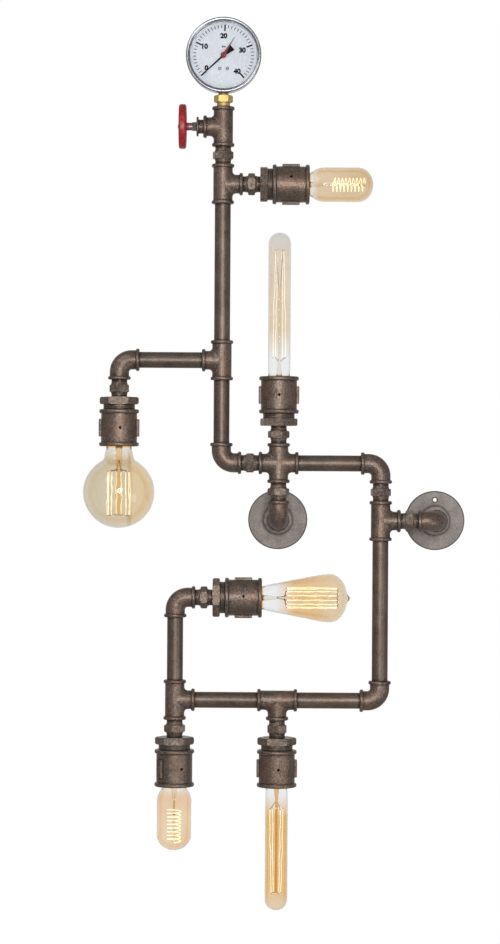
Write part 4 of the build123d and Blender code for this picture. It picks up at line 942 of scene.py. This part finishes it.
class PIPELIGHT_OT_filaments(bpy.types.Operator):
    """Glass stems, support wires and glowing filaments inside the bulbs."""

    bl_idname = "pipe_light.filaments"
    bl_label = "Filaments"

    def stem(self, name, height, far_radius):
        """The glass stem on its flare, whose far end may be wider than the rest."""
        slim = max(stem_radius, 0.9 * far_radius)
        outline = [(0, -foot_depth), (10.7, -foot_depth), (10.7, -4.7), (max(4.0, 1.3 * slim), 0)]
        outline += [(max(3.2, 1.1 * slim), 6), (slim, 20), (slim, 0.68 * height), (far_radius, 0.72 * height)]
        outline += [(far_radius, height - 1), (0.7 * far_radius, height - 0.3), (0, height)]
        return turned(name, [(radius, face + rise) for radius, rise in outline], steps=24, sharp=40.0)

    def strand_point(self, size, strand, step):
        """A place on one strand of a cage: strands bow out in the middle and stray a little."""
        near_radius, far_radius, near, far, strands, first = size
        part = step / strand_steps
        loose = math.sin(math.pi * part)
        wave = 0.45 * math.sin(1.5 * step + 1.7 * strand) + 0.3 * math.sin(0.6 * step + 2.3 * strand)
        lean = 2.6 * math.sin(1.3 * step + 2.9 * strand) + 2.0 * math.sin(0.5 * step + strand)
        radius = near_radius + (far_radius - near_radius) * part + (0.6 + wave) * loose
        angle = first + 360.0 * strand / strands + lean * loose
        return on_ring(radius, angle, near + (far - near) * part)

    def cage(self, size, stem_end):
        """The wire's runs up and down in one row, its supports and leads, and the hooks it hangs on."""
        near_radius, far_radius, near, far, strands, first = size
        wire_run, supports, hooks = [], [], []
        for strand in range(strands):
            run = [self.strand_point(size, strand, step) for step in range(strand_steps + 1)]
            wire_run += run if strand % 2 == 0 else run[::-1]
        for strand in range(strands - 1):
            angle = first + 360.0 * (strand + 0.5) / strands
            high = strand % 2 == 0
            radius = (far_radius if high else near_radius) * math.cos(math.pi / strands)
            rise = far if high else near
            hub = stem_end - 1 if high else near - 3
            supports.append([on_ring(stem_radius - 0.1, angle, hub), on_ring(radius - 0.2, angle, rise)])
        for angle, end in ((first, wire_run[0]), (first + 180, wire_run[-1])):
            supports.append([on_ring(stem_radius, angle, lead_height), end])
        for radius, rise in ((near_radius, near), (far_radius, far)):
            for strand in range(strands):
                angle = first + 360 * strand / strands
                ends = (radius - hook_reach, radius + hook_reach)
                hooks.append([on_ring(end, angle, rise) for end in ends])
        return wire_run, supports, hooks

    def coil(self):
        """A coil around the stem, its supports and leads, and the one support that is thicker."""
        steps = coil_turns * coil_steps
        rise = coil_far - coil_near
        wire_run = [
            on_ring(coil_radius, 360.0 / coil_steps * step, coil_near + rise * step / steps)
            for step in range(steps + 1)
        ]
        supports = []
        for turn in range(1, coil_turns, 2):
            height = coil_near + rise * (turn + 0.5) / coil_turns
            supports.append([on_ring(0, 0, height), on_ring(coil_radius - 0.5, 180, height)])
        leads = [[on_ring(0, 0, lead_height), wire_run[0]], [on_ring(0, 0, coil_far - 1), wire_run[-1]]]
        return wire_run, supports + leads, supports[:1]

    def fit(self, piece, lamp, finish, slot):
        """Seats a piece in its bulb, where it takes the CAD filament's place."""
        dress(seated(piece, lamp_place(lamp)), finish, "bulb_" + lamp)
        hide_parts("bulb_" + lamp + "_filament")

    def execute(self, context):
        sizes = context.scene.pipe_light_sizes
        for lamp in lamps:
            strand = sizes.filament_wire / MM
            glass, share, far_radius = stems.get(lamp, plain_stem)
            if lamp in cages:
                height = cages[lamp][3] * share
                wire_run, supports, hooks = self.cage(cages[lamp], height)
            else:
                height = coil_far
                wire_run, supports, hooks = self.coil()
                strand *= coil_thickness
            stem = self.stem("bulb_" + lamp + "_stem", height, far_radius)
            self.fit(stem, lamp, glass, "clear_glass")
            glow = "faint filament" if lamp == "long_slim" else "glowing filament"
            for part, runs, thickness, finish in (
                ("_supports", supports, sizes.support_wire / MM, "support wire"),
                ("_hooks", hooks, hook_thickness, "support wire"),
                ("_glow", [wire_run], strand, glow),
            ):
                self.fit(wire("bulb_" + lamp + part, runs, thickness), lamp, finish, "filament")
        return {"FINISHED"}


class PIPELIGHT_OT_gauge(bpy.types.Operator):
    """Gauge case, bezel, window, stem and movement."""

    bl_idname = "pipe_light.gauge"
    bl_label = "Gauge"

    def execute(self, context):
        bezel = [(48.75, 8.0), (49.6, 8.0), (50.0, 8.5), (50.0, 12.3), (49.6, 12.7), (50.0, 13.1)]
        bezel += [(50.0, 17.6)] + arc((48.1, 18.1), 1.9, 0.0, 90.0, 6)
        bezel += [(47.3, 19.9), (46.3, 19.5), (45.5, 18.9), (45.0, 18.52), (48.75, 18.52)]
        piece = turned("gauge_bezel_ring", bezel + bezel[:1], steps=128, sharp=40.0)
        dress(seated(piece, dial_place()), "bezel steel")
        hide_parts("gauge_bezel")
        spacer = [(44.3, 10.9), (46.8, 10.9), (46.8, 16.4), (44.3, 16.4)]
        piece = turned("gauge_spacer_ring", spacer + spacer[:1], steps=96)
        dress(seated(piece, dial_place()), "spacer grey")
        refine("gauge_case", "bezel steel")
        refinish("gauge_window", "window glass")
        for part in ("stem", "bourdon_tube", "movement_frame", "sector_gear", "pinion"):
            refinish("gauge_" + part, "stem brass")
        return {"FINISHED"}


# The dial's face, from the gauge's middle, and its scale: clockwise degrees from 12 o'clock and numbers.
dial_face, scale_start, scale_sweep, scale_end, scale_step = 10.8, -132.5, 270.0, 40, 10
print_height = 0.05
# Ticks: inner and outer radius and width.
minor_tick = (36.2, 40.4, 0.95)
major_tick = (32.0, 40.6, 2.1)
numerals = {"0": (-127, 28.5), "10": (-66, 28), "20": (0, 25.5), "30": (75, 25.5), "40": (140, 28)}
capital_share = 0.72                  # a numeral's height in a letter size of 1
screw_head = [(0, 10.8), (1.6, 10.8), (1.6, 11.2), (1.3, 11.5), (0.6, 11.6), (0, 11.6)]
screw_seat = [(1.6, 10.8), (2.2, 10.8), (2.2, 11.0), (1.6, 11.0), (1.6, 10.8)]
screw_side, screw_drop = 5.1, 17.4


class PIPELIGHT_OT_dial(bpy.types.Operator):
    """Dial with its ticks, numerals and screws, and the two hands."""

    bl_idname = "pipe_light.dial"
    bl_label = "Dial"

    def ticks(self, name, inner, outer, width, angles):
        """Printed ticks at clockwise angles from 12 o'clock."""
        bpy.ops.object.select_all(action="DESELECT")
        bpy.ops.mesh.primitive_plane_add(size=1.0)
        piece = bpy.context.object
        piece.name = name
        bpy.ops.object.mode_set(mode="EDIT")
        bpy.ops.transform.resize(value=(width * MM, (outer - inner) * MM, 1))
        bpy.ops.transform.translate(value=(0, (inner + outer) / 2 * MM, (dial_face + 0.01) * MM))
        bpy.ops.mesh.extrude_region_move(TRANSFORM_OT_translate={"value": (0, 0, print_height * MM)})
        bpy.ops.mesh.select_all(action="SELECT")
        bpy.ops.mesh.normals_make_consistent(inside=False)
        bpy.ops.object.mode_set(mode="OBJECT")
        turns = [dial_place() @ Matrix.Rotation(math.radians(-angle), 4, "Z") for angle in angles]
        return copies(piece, turns)

    def words(self, name, text, size, x, y):
        """Flat printed text centred on a place of the dial."""
        bpy.ops.object.select_all(action="DESELECT")
        bpy.ops.object.text_add()
        letters = bpy.context.object.data
        letters.body = text
        letters.size = size * MM
        letters.align_x = "CENTER"
        letters.align_y = "CENTER"
        letters.extrude = 0.03 * MM
        letters.offset = 0.06 * size * MM
        bpy.ops.object.convert(target="MESH")
        piece = bpy.context.object
        piece.name = name
        spot = Vector((x, y, dial_face + 0.04)) * MM
        return seated(piece, dial_place() @ Matrix.Translation(spot))

    def execute(self, context):
        size = context.scene.pipe_light_sizes.numeral_height / MM / capital_share
        refine("gauge_dial", "dial enamel")
        angles = [scale_start + scale_sweep / scale_end * mark for mark in range(scale_end + 1)]
        minor = [angle for mark, angle in enumerate(angles) if mark % scale_step]
        printed = [self.ticks("dial_minor_ticks", *minor_tick, minor)]
        printed.append(self.ticks("dial_major_ticks", *major_tick, angles[::scale_step]))
        for label, (angle, radius) in numerals.items():
            turn = math.radians(90 - angle)
            spot = (radius * math.cos(turn), radius * math.sin(turn))
            printed.append(self.words("dial_numeral_" + label, label, size, *spot))
        printed.append(self.words("dial_unit", "bar", 3.6, 0, 11.5))
        spots = [Vector((x, -screw_drop, 0)) * MM for x in (-screw_side, screw_side)]
        places = [dial_place() @ Matrix.Translation(spot) for spot in spots]
        screws = copies(turned("dial_screws", screw_head, steps=24), places)
        dress(screws, "zinc screw")
        printed.append(copies(turned("dial_screw_seats", screw_seat, steps=24), places))
        for piece in printed:
            dress(piece, "dial print")
        refine("gauge_pointer", "hand black", "pointer")
        refine("gauge_set_hand", "hand red", "set_hand")
        return {"FINISHED"}


class PIPELIGHT_OT_valve(bpy.types.Operator):
    """Valve plug, gland, spindle and the painted handwheel."""

    bl_idname = "pipe_light.valve"
    bl_label = "Valve"

    def execute(self, context):
        refine("valve_plug", "fitting casting")
        refine("valve_gland_nut", "gland steel")
        for node in ("valve_spindle", "valve_wheel_nut"):
            refine(node, "gland steel", "valve_wheel")
        refine("valve_handwheel", "wheel paint", "valve_wheel", sharp=50.0)
        return {"FINISHED"}


class PIPELIGHT_PT_panel(bpy.types.Panel):
    """Lists the light's pieces in the order they are made."""

    bl_idname = "PIPELIGHT_PT_panel"
    bl_label = "Pipe light"
    bl_space_type = "VIEW_3D"
    bl_region_type = "UI"
    bl_category = "Pipe light"

    def draw(self, context):
        for group in (context.scene.pipe_light_colours, context.scene.pipe_light_sizes):
            box = self.layout.box()
            for key in group.bl_rna.properties.keys():
                if key not in ("rna_type", "name"):
                    box.prop(group, key)
        for operator in operators:
            self.layout.operator(operator.bl_idname)


operators = (
    PIPELIGHT_OT_stage,
    PIPELIGHT_OT_pipework,
    PIPELIGHT_OT_threads,
    PIPELIGHT_OT_bulb_glass,
    PIPELIGHT_OT_filaments,
    PIPELIGHT_OT_gauge,
    PIPELIGHT_OT_dial,
    PIPELIGHT_OT_valve,
)
classes = (PipeLightColours, PipeLightSizes) + operators + (PIPELIGHT_PT_panel,)


def register():
    for cls in classes:
        bpy.utils.register_class(cls)
    bpy.types.Scene.pipe_light_colours = bpy.props.PointerProperty(type=PipeLightColours)
    bpy.types.Scene.pipe_light_sizes = bpy.props.PointerProperty(type=PipeLightSizes)


def unregister():
    del bpy.types.Scene.pipe_light_sizes
    del bpy.types.Scene.pipe_light_colours
    for cls in reversed(classes):
        bpy.utils.unregister_class(cls)


def main():
    register()
    bpy.ops.pipe_light.stage()
    bpy.ops.pipe_light.pipework()
    bpy.ops.pipe_light.threads()
    bpy.ops.pipe_light.bulb_glass()
    bpy.ops.pipe_light.filaments()
    bpy.ops.pipe_light.gauge()
    bpy.ops.pipe_light.dial()
    bpy.ops.pipe_light.valve()


if __name__ == "__main__":
    main()
